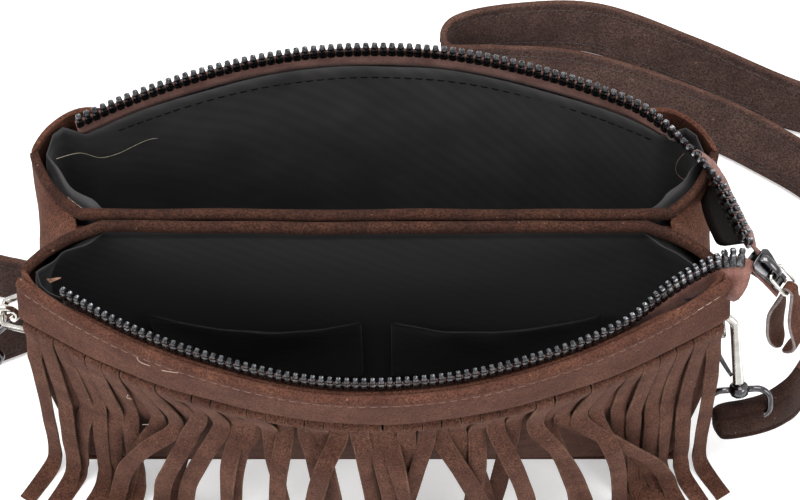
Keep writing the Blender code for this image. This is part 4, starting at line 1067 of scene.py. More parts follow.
def plated(name, dark, light, roughness, wear_mm=2.0):
    """Electroplated metal: a mirror-like skin, a little cloudy, with darker hollows."""
    made, tree, shader, place = started(name, Metallic=1.0)
    cloud = cloudy(tree, place, wear_mm, 3.0)
    shade = tone(tree, cloud, 0.35, 0.7, linear(dark), linear(light))
    tree.links.new(shade, shader.inputs["Base Color"])
    polished, worn = (roughness * 0.8,) * 3 + (1,), (roughness * 1.3,) * 3 + (1,)
    tree.links.new(tone(tree, cloud, 0.3, 0.7, polished, worn), shader.inputs["Roughness"])
    dented(tree, shader, cloud, 0.04, 0.0001)
    return made


TEETH_METAL = plated("gunmetal_plated_zinc_teeth", "#38393c", "#747476", 0.24, 1.0)
GUNMETAL = plated("polished_gunmetal_plating", "#454446", "#676567", 0.17, 4.0)
NICKEL = plated("polished_nickel_plating", "#bdbab4", "#dedbd5", 0.14, 6.0)


def tape_spots(side, line, cloth):
    """The two skins of a tape: rows run from its toothed edge across the cloth, columns along the zip."""

    def at(across, column):
        index = column * 2
        spot, run = line[index], cloth[index]
        along = (line[min(index + 2, len(line) - 1)] - line[max(index - 2, 0)]).normalized()
        through = along.cross(run).normalized()
        rib = CORD_RADIUS if across == 0 else TAPE_THICKNESS / 2
        free = clamped((spot.x - 0.108) / 0.010) * clamped((0.130 - spot.x) / 0.004)
        bow = FREE_TAPE_BOW[side] * free * math.sin(math.pi * (across / 6) ** 0.6)
        middle = spot + run * (across / 6) + Vector((bow, 0, 0))
        return middle + through * rib, middle - through * rib

    return two_grids(7, (len(line) + 1) // 2, at)


for label, side in (("rear", 1), ("front", -1)):
    line, length = zip_edge(side)
    cloth, mouth = tape_cloth(side, line, length)
    outer, inner = tape_spots(side, line, cloth)
    columns = len(outer[0])
    # Beyond the end of its seam the rear tape shows only its inner face, which takes a near-black copy of the
    # tape as painted shade
    shaded = [
        2 * (row * (columns - 1) + column) + 1
        for row in range(6) for column in range(columns - 1)
        if side > 0 and outer[0][column].x > SEWN_TO[1]
    ]
    tape = two_skins("zip_tape_" + label, outer, inner, [TAPE, TAPE_PAINTED_SHADE], edge_faces=shaded)
    points, faces = [], []
    for number in range(TEETH_PER_SIDE):
        spot_at = (number + 0.5) * (mouth - 2) / TEETH_PER_SIDE
        index = int(spot_at)
        spot = line[index].lerp(line[index + 1], spot_at - index)
        along = (line[min(index + 2, len(line) - 1)] - line[max(index - 1, 0)]).normalized()
        down = cloth[index].normalized()
        down = (down - along * down.dot(along)).normalized()
        tooth(points, faces, spot, along, down, along.cross(down))
    teeth = piece("zip_teeth_" + label, points, faces, TEETH_METAL, smooth=False)
    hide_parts("zip_side_" + label)

# A row of black stitches in the rear lining, 1.5 mm below the tape's lower edge.
LINING_STITCH_DROP = 0.0105
LINING_STITCH_INSIDE = 0.0018
rear_face = panel_outline(1)
stitch_z = BAG_HEIGHT - LINING_STITCH_DROP
stitch_out = -BEHIND_TAPE - LINING_STITCH_INSIDE
sewn_line = [off_face(rear_face, 0.09 + 0.80 * step / 240, stitch_z, stitch_out) for step in range(241)]
forward = [Vector((0, -1, 0))] * len(sewn_line)
stitches("lining_stitches", sewn_line, forward, LINING_THREAD, width=0.0004)

# The slider: a die-cast body of two shield-shaped plates with turned-in flanges, joined by a wedge at its
# nose, with a bridge on top that holds the pull's wire link. All of it is polished and plated gunmetal.
SLIDER_WIDTH = 0.0090
SLIDER_PLATE = 0.0011
SLIDER_OPENING = 0.0034
BRIDGE_HEIGHT = 0.0033
BRIDGE_HALF_LENGTH = 0.0044
BRIDGE_SUNK = 0.0003


def bevelled(made, width, segments=2):
    """Rounds the sharp edges of a cast part."""
    soft = made.modifiers.new("edges", "BEVEL")
    soft.width = width
    soft.segments = segments
    soft.limit_method = "ANGLE"
    soft.angle_limit = math.radians(35)
    return made


def plate_outline(long, wide):
    """The slider's plate: broad at the mouth with a shallow notch, waisted, and rounded at its tail."""
    half = [(-1, 0.30), (-0.96, 0.78), (-0.72, 1), (-0.2, 0.92), (0.35, 0.74), (0.8, 0.70), (1, 0.48)]
    half = [(long * x, wide * y) for x, y in half]
    return half + [(x, -y) for x, y in reversed(half)]


def prism(points, faces, outline, low, high):
    """Adds a flat part with straight sides between two heights."""
    first = len(points)
    count = len(outline)
    points += [Vector((x, y, low)) for x, y in outline] + [Vector((x, y, high)) for x, y in outline]
    faces.append([first + step for step in reversed(range(count))])
    faces.append([first + count + step for step in range(count)])
    for step in range(count):
        beside = (step + 1) % count
        faces.append([first + step, first + beside, first + count + beside, first + count + step])


points, faces = [], []
half_open = SLIDER_OPENING / 2
outline = plate_outline(SLIDER_LENGTH / 2, SLIDER_WIDTH / 2)[::-1]
prism(points, faces, outline, half_open, half_open + SLIDER_PLATE)
prism(points, faces, outline, -half_open - SLIDER_PLATE, -half_open)
wedge = [(-0.0051, -0.0011), (-0.0024, -0.0004), (-0.0024, 0.0004), (-0.0051, 0.0011)]
prism(points, faces, wedge, -half_open, half_open)
for hand in (-1, 1):
    flange = [(-0.0030, hand * 0.0043), (0.0050, hand * 0.0034)]
    flange += [(0.0050, hand * 0.0026), (-0.0030, hand * 0.0036)]
    if hand < 0:
        flange.reverse()
    prism(points, faces, flange[::-1], half_open - 0.0009, half_open + 0.0002)
points = [slider_place @ point for point in points]
slider = bevelled(piece("slider_body", points, faces, GUNMETAL), 0.00030, 3)
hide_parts("slider")

bridge = []
for step in range(15):
    angle = math.pi * step / 14
    z = half_open + SLIDER_PLATE - BRIDGE_SUNK + BRIDGE_HEIGHT * math.sin(angle) ** 0.55
    bridge.append(slider_place @ Vector((-BRIDGE_HALF_LENGTH * math.cos(angle), 0, z)))
across_slider = slider_place.to_3x3() @ Vector((0, 1, 0))


def bridge_section(share):
    """The bridge broadens into its two feet."""
    foot = abs(2 * share - 1) ** 2
    return oval(0.0011 + 0.0007 * foot, 0.0026 + 0.0010 * foot, 10)


bail = swept("slider_bridge", bridge, bridge_section, GUNMETAL, up=across_slider)

# The bottom stop: two small plates clamped over both tapes, joined through the gap between them.
stop_plate = [(0.0066, -0.0033), (0.0090, -0.0033), (0.0090, 0.0033), (0.0066, 0.0033)]
stop_core = [(0.0070, -0.0012), (0.0086, -0.0012), (0.0086, 0.0012), (0.0070, 0.0012)]
points, faces = [], []
prism(points, faces, stop_plate, 0.0005, 0.0014)
prism(points, faces, stop_plate, -0.0014, -0.0005)
prism(points, faces, stop_core, -0.0006, 0.0006)
points = [slider_place @ point for point in points]
stop = bevelled(piece("bottom_stop_clamp", points, faces, GUNMETAL), 0.0002)
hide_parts("zip_bottom_stop")

# The pull: a bent wire link of nickel-plated steel through the bridge, and a suede tab folded through it,
# whose two leaf-shaped halves are painted grey along their cut edges.
LINK_WIRE = 0.0012
LINK_WIDTH = 0.0078
LINK_LENGTH = 0.0105
LINK_DROOP_DEG = 4.0
LINK_SEAT = 0.0023
LINK_CORNER = 0.0012
LINK_BOW = 0.0009
PULL_TAB_SWING_DEG = 8.0
PULL_TAB_THICKNESS = 0.0013
PULL_TAB_LENGTH = 0.044
PULL_TAB_WIDTH = 0.0125
PULL_TAB_SWAY = 0.0010

link_pin = Vector((LINK_SEAT, 0, half_open + SLIDER_PLATE + LINK_WIRE / 2 + CLEARANCE))
link_place = (
    slider_place
    @ Matrix.Translation(link_pin)
    @ Matrix.Rotation(-math.radians(90 - LINK_DROOP_DEG), 4, "Y")
)
half_link, link_reach = (LINK_WIDTH - LINK_WIRE) / 2, LINK_LENGTH - LINK_WIRE
loop = []
for cy, cz, start in (
    (half_link - LINK_CORNER, -LINK_CORNER, 0),
    (-half_link + LINK_CORNER, -LINK_CORNER, 90),
    (-half_link + LINK_CORNER, -link_reach + LINK_CORNER, 180),
    (half_link - LINK_CORNER, -link_reach + LINK_CORNER, 270),
):
    for step in range(6):
        angle = math.radians(start + 18 * step)
        y, z = cy + LINK_CORNER * math.cos(angle), cz + LINK_CORNER * math.sin(angle)
        bow = LINK_BOW * math.sin(math.pi * -z / link_reach)
        loop.append(link_place @ Vector((bow, y, z)))
link_face = link_place.to_3x3() @ Vector((1, 0, 0))
link = swept(
    "pull_link_wire", loop, lambda share: oval(LINK_WIRE, LINK_WIRE, 10), NICKEL, up=link_face,
    body="pull_link", closed=True,
)
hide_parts("pull_link")

EDGE_PAINT, paint_tree, paint_shader, paint_place = started("grey_edge_paint", Roughness=0.5)
worn_paint = cloudy(paint_tree, paint_place, 1.2, 2.0)
paint_shade = tone(paint_tree, worn_paint, 0.3, 0.7, linear("#4d4240"), linear("#7c6f6b"))
paint_tree.links.new(paint_shade, paint_shader.inputs["Base Color"])

tab_place = (
    Matrix.Translation(link_place @ Vector((0, 0, -link_reach)))
    @ Matrix.Rotation(math.radians(ZIP_HEADING_DEG), 4, "Z")
    @ Matrix.Rotation(math.radians(-PULL_TAB_SWING_DEG), 4, "Y")
)
fold_radius = LINK_WIRE / 2 + 0.0005 + PULL_TAB_THICKNESS / 2
# One half of the leaf shape: how far it stands off the middle, how far down, and its share of the width
leaf = [(0.0020, -0.006, 0.44), (0.0036, -0.012, 0.84), (0.0052, -0.020, 1.0), (0.0054, -0.028, 0.98)]
leaf += [(0.0036, -0.036, 0.80), (0.0016, -0.041, 0.56), (0.0010, -PULL_TAB_LENGTH, 0.20)]
tab_stops = [[x, z, share] for x, z, share in reversed(leaf)]
for step in range(5):
    angle = math.radians(-20 + 55 * step)
    tab_stops.append([fold_radius * math.cos(angle), fold_radius * math.sin(angle), 0.34])
tab_stops += [[-x, z, share] for x, z, share in leaf]
tab_line = curve_through(tab_stops, 5)
tab_points, tab_faces, tab_edges, stations = [], [], [], []
for index, (x, z, share) in enumerate(tab_line):
    before, after = neighbours(tab_line, index)
    run = Vector((after[0] - before[0], 0, after[1] - before[1])).normalized()
    facing = Vector((-run.z, 0, run.x))
    sway = PULL_TAB_SWAY * math.sin(z * 190 + (1 if x > 0 else 0)) * min(1.0, -z / 0.02) if z < 0 else 0.0
    stations.append((Vector((x + sway, 0, z)), Vector((0, 1, 0)), PULL_TAB_WIDTH * share, facing))
ribbon(tab_points, tab_faces, tab_edges, stations, PULL_TAB_THICKNESS)
tab = piece(
    "pull_tab_suede", [tab_place @ p for p in tab_points], tab_faces, [SUEDE, EDGE_PAINT], body="pull_tab",
    edge_faces=tab_edges,
)
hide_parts("pull_tab")

# The side rings: four-sided rings of nickel-plated zinc, each held by its round bar in a folded suede tab
# that is sewn into the notch of the gusset.
RING_HEIGHT = 0.078
RING_PIN_X = 0.1260
RING_INNER_WIDTH = 0.0195
RING_OUTER_WIDTH = 0.0095
RING_LENGTH = 0.0160
RING_DROOP_DEG = {-1: 10.0, 1: 65.0}
RING_TAB_WIDTH = 0.0110
RING_TAB_RADIUS = 0.0024
RING_TAB_HALF_GAP = 0.0009
RING_TAB_THICKNESS = 0.0013
RING_CORNER = 0.0016


def ring_out(hand):
    """Which way a ring points from the bar in its tab: outward and down by its droop."""
    droop = math.radians(RING_DROOP_DEG[hand])
    return Vector((hand * math.cos(droop), 0, -math.sin(droop)))


for hand, label in ((1, "right"), (-1, "left")):
    pin = Vector((hand * RING_PIN_X, 0, RING_HEIGHT))
    out = ring_out(hand)
    lift = out.cross(Vector((0, 1, 0)))
    corners = [
        (0.0, -RING_INNER_WIDTH / 2), (0.0, RING_INNER_WIDTH / 2),
        (RING_LENGTH, RING_OUTER_WIDTH / 2), (RING_LENGTH, -RING_OUTER_WIDTH / 2),
    ]
    loop = []
    for index, (u, v) in enumerate(corners):
        before, after = corners[index - 1], corners[(index + 1) % 4]
        here = Vector((u, v))
        a = here + (Vector(before) - here).normalized() * RING_CORNER
        b = here + (Vector(after) - here).normalized() * RING_CORNER
        for step in range(5):
            t = step / 4
            spot = a * (1 - t) ** 2 + here * 2 * t * (1 - t) + b * t * t
            loop.append(pin + out * spot.x + Vector((0, 1, 0)) * spot.y)
    flat_bar = [(-0.0009, -0.0012), (-0.0005, -0.0016), (0.0005, -0.0016), (0.0009, -0.0012)]
    flat_bar += [(0.0009, 0.0012), (0.0005, 0.0016), (-0.0005, 0.0016), (-0.0009, 0.0012)]
    ring = swept(
        "side_ring_" + label, loop, lambda share: flat_bar, NICKEL, up=lift, body="ring_" + label, closed=True
    )
    ring.data.shade_smooth()
    bevelled(ring, 0.00015, 2)
    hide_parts("ring_" + label)

    root = notch_x(RING_HEIGHT) + 0.0006
    spots = [(root - 0.003, 0.80), (RING_PIN_X - 0.0045, 1.0)]
    track = [(x, RING_HEIGHT + RING_TAB_HALF_GAP, share) for x, share in spots]
    for step in range(9):
        angle = math.radians(120 - 30 * step)
        x, z = RING_PIN_X + RING_TAB_RADIUS * math.cos(angle), RING_HEIGHT + RING_TAB_RADIUS * math.sin(angle)
        track.append((x, z, 1.0))
    track += [(x, RING_HEIGHT - RING_TAB_HALF_GAP, share) for x, share in reversed(spots)]
    points, faces, edges, stations = [], [], [], []
    for index, (x, z, share) in enumerate(track):
        before, after = neighbours(track, index)
        run = Vector((after[0] - before[0], 0, after[1] - before[1])).normalized()
        facing = Vector((run.z, 0, -run.x))
        stations.append((Vector((x, 0, z)), Vector((0, 1, 0)), RING_TAB_WIDTH * share, facing))
    ribbon(points, faces, edges, stations, RING_TAB_THICKNESS)
    points = [Vector((hand * p.x, p.y, p.z)) for p in points]
    ring_tab = piece("ring_tab_" + label + "_suede", points, faces, [SUEDE, CUT_EDGE], edge_faces=edges)
    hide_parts("ring_tab_" + label)

# The swivel snap hooks: a cast claw with a sprung gate, turning on a post in the collar of a wire eye that
# holds the strap. The claw and its post are nickel plated, and the gate, collar and eye a darker gunmetal.
HOOK_WIRE = 0.0030
HOOK_CLAW_RADIUS = 0.0050
HOOK_REACH = 0.0285
HOOK_RING_PLAY = 0.0010
COLLAR_LENGTH = 0.0046
EYE_WIRE = 0.0025
EYE_WIDTH = 0.0260
EYE_LENGTH = 0.0130
EYE_CORNER = 0.0052
HOOK_DOWN = {1: Vector((0.13, -0.60, -0.79)), -1: Vector((-0.36, -0.12, -0.925))}


def turned(sizes, sides):
    """A round section for a turned part, which takes its sizes in order along the part."""

    def section(share):
        size = sizes[round(share * (len(sizes) - 1))]
        return oval(size, size, sides)

    return section


def claw_section(share):
    """The claw is thickest at its foot and thins to its own wire toward the tip."""
    wide = HOOK_WIRE * (1.5 - 0.5 * min(1.0, share / 0.5))
    return oval(wide, HOOK_WIRE * (1.15 - 0.30 * min(1.0, share / 0.7)), 16)


def gate_section(share):
    """The gate is a flat lever, a little thicker in its middle."""
    return oval(0.0025, 0.0014 + 0.0004 * math.sin(math.pi * share), 10)


def hook_axes(hand):
    """The hook's up, across and turning directions, and the middle of its collar."""
    up = -HOOK_DOWN[hand].normalized()
    bar = Vector((0, 1, 0))
    turn = (bar - up * bar.dot(up)).normalized()
    across = up.cross(turn).normalized()
    out = ring_out(hand)
    if across.dot(out) > 0:
        across = -across
    ring_bar = Vector((hand * RING_PIN_X, 0, RING_HEIGHT)) + out * RING_LENGTH
    place = ring_bar - up * (HOOK_REACH + HOOK_RING_PLAY) - across * HOOK_CLAW_RADIUS
    return up, across, turn, place


for hand, label in ((1, "right"), (-1, "left")):
    up, across, turn, place = hook_axes(hand)
    stops = [[0.0, COLLAR_LENGTH / 2 + CLEARANCE], [0.0, HOOK_REACH * 0.3], [0.0, HOOK_REACH * 0.6]]
    for step in range(8):
        angle = math.radians(180 - 30 * step)
        stops.append(
            [HOOK_CLAW_RADIUS * (1 + math.cos(angle)), HOOK_REACH + HOOK_CLAW_RADIUS * math.sin(angle)]
        )
    tip_aside, tip_height = stops[-1]
    line = [place + across * a + up * b for a, b in curve_through(stops, 5)]
    body = swept("hook_claw_" + label, line, claw_section, NICKEL, up=turn, body="hook_" + label)
    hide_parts("hook_body_" + label)
    post_line = [place + up * h for h in (-0.0035, -0.0031, -0.0027, -0.0026, 0.0, 0.0026)]
    post_section = turned([0.0030, 0.0042, 0.0042, 0.0022, 0.0022, 0.0022], 14)
    post = swept("hook_post_" + label, post_line, post_section, NICKEL, up=turn, body="hook_" + label)

    pin = place + across * (HOOK_WIRE / 2 + CLEARANCE + 0.0008) + up * (HOOK_REACH * 0.24)
    tip = place + across * (tip_aside - 0.0004) + up * (tip_height - HOOK_WIRE / 2 - 0.0012)
    gate_line = [
        pin.lerp(tip, step / 8) + across * 0.0005 * math.sin(math.pi * step / 8) for step in range(9)
    ]
    lever_name = "hook_gate_" + label + "_lever"
    gate = swept(lever_name, gate_line, gate_section, GUNMETAL, up=across, body="gate_" + label)
    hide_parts("hook_gate_" + label)

    collar_line = [place + up * h for h in (-0.0023, -0.0019, -0.0006, 0.0006, 0.0019, 0.0023)]
    collar_section = turned([0.0056, 0.0070, 0.0076, 0.0076, 0.0070, 0.0056], 20)
    collar = swept("hook_collar_" + label, collar_line, collar_section, GUNMETAL, up=turn)
    half = (EYE_WIDTH - EYE_WIRE) / 2
    wire = [Vector((0.0022, 0.0)), Vector((half - EYE_CORNER, 0.0))]
    corner_x = half - EYE_CORNER
    for corner_z, start in ((-EYE_CORNER, 90), (-EYE_LENGTH + EYE_CORNER, 0)):
        for step in range(1, 7):
            angle = math.radians(start - 15 * step)
            wire.append(
                Vector((corner_x + EYE_CORNER * math.cos(angle), corner_z + EYE_CORNER * math.sin(angle)))
            )
    wire += [Vector((-p.x, p.y)) for p in reversed(wire)]
    eye_line = [place + across * p.x + up * p.y for p in wire]
    eye = swept("strap_eye_" + label, eye_line, lambda share: oval(EYE_WIRE, EYE_WIRE, 12), GUNMETAL, up=turn)
    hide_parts("hook_eye_" + label)

# The strap: a long doubled strip of suede 25 mm wide and 3 mm thick, sewn along both edges, folded round its
# left eye and rolled round the right one. It lies on the floor on its edge and leaning, as such a strip does.
STRAP_WIDTH = 0.025
STRAP_THICKNESS = 0.0030
STRAP_LOOP_WIDTH = 0.0170
STRAP_FOLD_LENGTH = 0.0120
STRAP_STEPS = 10
TWIST_STATIONS = 16
ROLLED_STATIONS = 62
UNSEWN_RIGHT = 70
UNSEWN_LEFT = 40
# The strap's route: x, y and lift over the floor in millimetres, and its width's lean from flat in degrees
STRAP_ROUTE = [
    (183, 17, 0, 80), (194, 42, 0, 92),
    (192, 80, 0, 112), (162, 106, 0, 122), (125, 125, 0, 124), (85, 139, 0, 122),
    (50, 143, 0, 110), (30, 147, 0, 90), (33, 159, 0, 82), (60, 164, 0, 70),
    (95, 163, 0, 62), (135, 146, 0, 60), (180, 124, 0, 64), (215, 118, 0, 80),
    (236, 142, 0, 90), (228, 186, 0, 90), (190, 215, 0, 82), (110, 226, 0, 76),
    (20, 229, 0, 74), (-70, 224, 0, 76), (-145, 208, 0, 82), (-190, 168, 0, 90),
    (-205, 115, 0, 90), (-192, 70, 0, 84), (-165, 47, 0, 72), (-140, 40, 0, 78),
    (-129, 31, 0, 90), (-137, 22, 0, 98), (-160, 14, 0, 112), (-188, 4, 0, 120),
    (-207, -18, 0, 138), (-202, -42, 0, 158), (-182, -44, 2, 172),
    (-170, -26, 7, 178),
]


def strap_fold(hand):
    """The strap's line round the eye's far bar, from its sewn end to where it leaves, and its width axis."""
    up, across, turn, place = hook_axes(hand)
    centre = place - up * EYE_LENGTH
    radius = EYE_WIRE / 2 + 0.0009 + STRAP_THICKNESS / 2
    layer = (STRAP_THICKNESS + CLEARANCE) / 2 + 0.0002
    flat = [(STRAP_FOLD_LENGTH, layer), (STRAP_FOLD_LENGTH * 0.6, layer)]
    for step in range(13):
        angle = math.radians(55 + 250 * step / 12)
        flat.append((radius * math.cos(angle), radius * math.sin(angle)))
    flat += [(STRAP_FOLD_LENGTH * 0.6, -layer), (STRAP_FOLD_LENGTH, -layer)]
    wide = across if across.x > 0 else -across
    return [centre - up * a + turn * b for a, b in flat], wide


left_fold, left_wide = strap_fold(-1)
# The end rolled round the right eye: its place, width and thickness in millimetres, and the lean in degrees
RIGHT_ROLL = [
    (132.6, -27.6, 30.0, 7.0, 6.0, 52.0), (134.0, -27.3, 30.0, 12.0, 11.0, 52.0),
    (137.5, -26.7, 30.0, 14.0, 13.0, 52.0), (146.0, -25.0, 29.4, 14.5, 12.5, 54.0),
    (154.0, -22.0, 27.4, 15.5, 10.5, 58.0), (161.0, -17.4, 24.6, 18.0, 7.5, 64.0),
    (167.5, -11.0, 20.8, 22.0, 4.0, 70.0), (174.5, 0.5, 17.0, 25.0, 3.0, 76.0),
]
stops = []
for x, y, z, width, thick, lean in RIGHT_ROLL:
    stops.append([x / 1000, y / 1000, z / 1000, math.radians(lean), width / 1000, thick / 1000])
for x, y, lift, lean in STRAP_ROUTE:
    angle = math.radians(lean)
    rest = STRAP_WIDTH / 2 * abs(math.sin(angle)) + STRAP_THICKNESS / 2 * abs(math.cos(angle))
    stops.append([x / 1000, y / 1000, lift / 1000 + rest + 0.0005, angle, STRAP_WIDTH, STRAP_THICKNESS])
stops.append([*left_fold[-1], math.radians(180), STRAP_LOOP_WIDTH, STRAP_THICKNESS])
line = curve_through(stops, STRAP_STEPS)
stations = []
for index, (x, y, z, angle, width, thick) in enumerate(line):
    before, after = neighbours(line, index)
    level = Vector((after[0] - before[0], after[1] - before[1], 0)).normalized()
    wide = Vector((-level.y, level.x, 0)) * math.cos(angle) + Vector((0, 0, 1)) * math.sin(angle)
    stations.append([Vector((x, y, z)), wide, width, thick])
for index in range(TWIST_STATIONS):
    station = stations[-1 - index]
    wide = left_wide if station[1].dot(left_wide) >= 0 else -left_wide
    share = (index / TWIST_STATIONS) ** 1.2
    station[1] = wide.lerp(station[1], share).normalized()
    station[2] = STRAP_LOOP_WIDTH + (STRAP_WIDTH - STRAP_LOOP_WIDTH) * min(1.0, share * 1.6)
stations += [[spot, left_wide, STRAP_LOOP_WIDTH, STRAP_THICKNESS] for spot in left_fold[::-1]][1:]
ready = []
for index, (spot, wide, width, thick) in enumerate(stations):
    before, after = neighbours(stations, index)
    along = (after[0] - before[0]).normalized()
    if ready and wide.dot(ready[-1][1]) < 0:
        wide = -wide
    wide = (wide - along * wide.dot(along)).normalized()
    ready.append((spot, wide, width, wide.cross(along), thick))

# The strap's suede is a greyer brown than the bag's: partly its own colour, partly painted glare from the
# light behind it
STRAP_SUEDE_AND_GLARE = suede("strap_suede", "#2a1d1a", "#453531", "#5a4640", 0.8)
# A much darker copy of the strap's suede for the end rolled round the right eye: painted shade
SHADED_END_SUEDE = suede("rolled_strap_end_suede_painted_shade", "#150c09", "#2d1c16", "#402b23", 0.7)
# A lighter copy for the strap's folded edges: a painted highlight where the rounded edges catch the light
STRAP_EDGE_HIGHLIGHT = suede("strap_folded_edge_painted_highlight", "#33231e", "#503931", "#684d43", 0.7)
strap_points, strap_faces, strap_highlit_edges = [], [], []
for spot, wide, width, facing, thick in ready:
    a, b = width / 2, thick / 2
    # How far in from the strap's edge, and its share of the thickness there: the seam lies in a groove
    half = [(0.0, 0.3), (0.0007, 0.95), (0.0022, 1.0), (0.0030, 0.78), (0.0038, 0.92)]
    profile = [(-a + u, v) for u, v in half] + [(0.0, 0.96)] + [(a - u, v) for u, v in reversed(half)]
    profile += [(u, -v) for u, v in reversed(profile)]
    # Where the strap is thicker than its two layers it is rolled, so its section is rounder
    bulk = max(0.0, (thick - STRAP_THICKNESS) / thick)
    strap_points += [
        spot + wide * u + facing * (v * b * (1 - bulk * (1 - math.sqrt(1 - 0.97 * (2 * u / width) ** 2))))
        for u, v in profile
    ]
ring = len(profile)
for index in range(len(ready) - 1):
    for step in range(ring):
        beside = (step + 1) % ring
        here, there = index * ring, (index + 1) * ring
        # Past the rolled end, the edge faces take the lighter copy as a painted highlight
        if step in (0, 9, 10, 11, 20, 21) and index >= ROLLED_STATIONS:
            strap_highlit_edges.append(len(strap_faces))
        strap_faces.append([here + step, there + step, there + beside, here + beside])
strap_faces.append([step for step in range(ring)])
strap_faces.append([(len(ready) - 1) * ring + step for step in reversed(range(ring))])
strap_suedes = [STRAP_SUEDE_AND_GLARE, STRAP_EDGE_HIGHLIGHT, SHADED_END_SUEDE]
strap = piece("strap_suede_body", strap_points, strap_faces, strap_suedes, edge_faces=strap_highlit_edges)
# The rolled end takes the much darker copy: painted shade
for face in strap.data.polygons[: ROLLED_STATIONS * ring]:
    face.material_index = 2
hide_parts("strap")

# Rows of dark stitches along both edges of the strap, 4 mm in, where it is doubled and sewn shut.
STRAP_STITCH_IN = 0.0042
sewn_part = ready[UNSEWN_RIGHT:-UNSEWN_LEFT]
for row in (-1, 1):
    for face in (-1, 1):
        seam = [
            spot + wide * (row * (width / 2 - STRAP_STITCH_IN)) + facing * (face * thick * 0.47)
            for spot, wide, width, facing, thick in sewn_part
        ]
        sides = [facing * face for _, _, _, facing, _ in sewn_part]
        fine = curve_through([list(spot) for spot in seam], 4)
        facings = [sides[min(step // 4, len(sides) - 1)] for step in range(len(fine))]
        edge_row = stitches("strap_stitches", [Vector(p) for p in fine], facings, BLACK_THREAD, width=0.00034)

# Loose ends that the photo shows: a long pale thread in the rear pouch, a brown loop of thread near its other
# end, short pale fibres on the band, the strips and the gusset, and a scrap of suede in the front pouch.
PALE_THREAD = thread("loose_pale_thread", "#9c9480", 0.6)
THREAD_WIDTH = 0.00022
FIBRE_WIDTH = 0.00028


def loose(name, stops, width, material):
    """A loose strand through stops in millimetres."""
    line = [Vector(p) / 1000 for p in curve_through([list(p) for p in stops], 8)]
    strand = swept(name, line, lambda share: oval(width, width, 5), material)
    return strand


loose(
    "long_pale_thread",
    [(-112.0, 25.0, 154.5), (-105.1, 31.0, 147.4), (-99.4, 34.5, 137.1), (-93.5, 37.6, 134.2),
     (-87.4, 40.6, 134.8), (-82.0, 43.2, 134.8), (-77.0, 45.3, 131.5), (-73.8, 46.6, 126.9)],
    THREAD_WIDTH, PALE_THREAD,
)
loose(
    "brown_thread_loop",
    [(109.6, 28.5, 152.0), (108.1, 29.4, 143.7), (108.6, 29.3, 136.1), (111.0, 28.0, 133.3),
     (113.5, 26.5, 135.6)],
    THREAD_WIDTH, BROWN_THREAD,
)
for number, stops in enumerate((
    [(-79.4, -51.8, 157.6), (-78.4, -52.6, 155.6), (-75.2, -53.8, 155.2)],
    [(-71.0, -55.6, 155.6), (-68.6, -56.4, 156.6), (-65.5, -56.8, 156.4)],
    [(-86.7, -50.6, 120.0), (-87.3, -50.9, 118.0), (-85.6, -51.0, 117.0)],
    [(-84.3, -51.8, 93.4), (-83.2, -52.2, 94.6), (-82.0, -52.2, 94.6)],
    [(-107.6, 11.6, 151.2), (-105.3, 9.7, 150.6), (-102.8, 7.9, 150.4), (-100.6, 6.6, 150.6)],
    [(-98.4, 5.4, 151.6), (-97.2, 4.6, 152.0), (-95.4, 4.6, 152.4)],
)):
    loose("pale_fibre_" + str(number + 1), stops, FIBRE_WIDTH, CREAM_THREAD)
scrap_points, scrap_faces, scrap_edges = [], [], []
scrap_line = [(-113.4, -19.2, 149.4), (-111.8, -20.0, 149.8), (-109.8, -19.4, 149.9), (-108.2, -18.8, 149.6)]
scrap_stations = [
    (Vector(p) / 1000, Vector((0.1, 0.95, 0.2)).normalized(), w, Vector((0, -0.2, 1)).normalized())
    for p, w in zip(scrap_line, (0.0006, 0.0016, 0.0011, 0.0004))
]
ribbon(scrap_points, scrap_faces, scrap_edges, scrap_stations, 0.0008)
piece("scrap_of_suede", scrap_points, scrap_faces, RUBBED_SUEDE)

# The camera looks down into the mouth from the front, three quarters of a metre away, with a long lens. The
# lamps are broad and soft, and the floor and the background are white.
CAMERA_PLACE = Vector((0.009, -0.3279, 0.8352))
CAMERA_TARGET = Vector((0.009, -0.013, 0.160))
LENS_MM = 97.9
SENSOR_MM = 36
# The floor glows a little: painted light that lifts the shadow on the floor under the bag
FLOOR_PAINTED_GLOW = 0.42

camera_data = bpy.data.cameras.new("camera")
camera_data.lens = LENS_MM
camera_data.sensor_width = SENSOR_MM
camera = bpy.data.objects.new("camera", camera_data)
camera.location = CAMERA_PLACE
camera.rotation_euler = (CAMERA_TARGET - CAMERA_PLACE).to_track_quat("-Z", "Y").to_euler()
bpy.context.collection.objects.link(camera)
bpy.context.scene.camera = camera


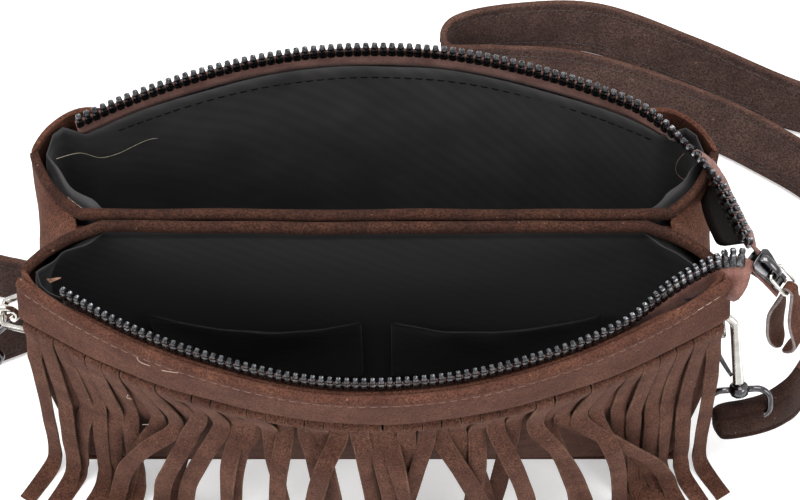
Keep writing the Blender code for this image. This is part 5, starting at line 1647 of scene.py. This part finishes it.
def white_behind(tree, seen, lit):
    """White where the camera, a mirror or glass sees it, and the lit surface everywhere else."""
    path = node(tree, "ShaderNodeLightPath")
    most = node(tree, "ShaderNodeMath", {"operation": "MAXIMUM"}, Value=path.outputs["Is Camera Ray"])
    tree.links.new(path.outputs["Is Glossy Ray"], most.inputs[1])
    last = node(tree, "ShaderNodeMath", {"operation": "MAXIMUM"}, Value=most.outputs[0])
    tree.links.new(path.outputs["Is Transmission Ray"], last.inputs[1])
    both = node(tree, "ShaderNodeMixShader", Fac=last.outputs[0])
    tree.links.new(lit, both.inputs[1])
    tree.links.new(seen, both.inputs[2])
    return both.outputs[0]


floor_mesh = bpy.data.meshes.new("floor")
floor_mesh.from_pydata([(-3, -3, 0), (3, -3, 0), (3, 3, 0), (-3, 3, 0)], [], [[0, 1, 2, 3]])
floor = bpy.data.objects.new("floor", floor_mesh)
bpy.context.collection.objects.link(floor)
FLOOR_WHITE, _, floor_shader, _ = started("white_studio_floor", Roughness=0.9)
floor_shader.inputs["Base Color"].default_value = (0.80, 0.80, 0.80, 1)
floor_shader.inputs["Emission Color"].default_value = (1, 1, 1, 1)
floor_shader.inputs["Emission Strength"].default_value = FLOOR_PAINTED_GLOW
floor_mesh.materials.append(FLOOR_WHITE)

WORLD_LIGHT = 0.50
world = bpy.data.worlds.new("studio")
bpy.context.scene.world = world
world.use_nodes = True
lit_world = world.node_tree.nodes["Background"]
lit_world.inputs["Color"].default_value = (1.0, 0.99, 0.98, 1)
lit_world.inputs["Strength"].default_value = WORLD_LIGHT
seen_world = node(world.node_tree, "ShaderNodeBackground", {"Color": (1, 1, 1, 1), "Strength": 1.0})
behind = white_behind(world.node_tree, seen_world.outputs[0], lit_world.outputs[0])
world.node_tree.links.new(behind, world.node_tree.nodes["World Output"].inputs["Surface"])

for name, place, size, power in (
    ("lamp_above", (0.0, 0.25, 1.5), 1.2, 26.0),
    ("lamp_left", (-1.1, -0.5, 1.0), 0.7, 11.0),
    ("lamp_right", (1.1, -0.7, 0.9), 0.7, 9.0),
):
    light = bpy.data.lights.new(name, "AREA")
    light.size = size
    light.energy = power
    lamp = bpy.data.objects.new(name, light)
    lamp.location = place
    lamp.rotation_euler = (Vector((0, 0, 0.1)) - Vector(place)).to_track_quat("-Z", "Y").to_euler()
    bpy.context.collection.objects.link(lamp)

bpy.context.scene.view_settings.view_transform = "Standard"
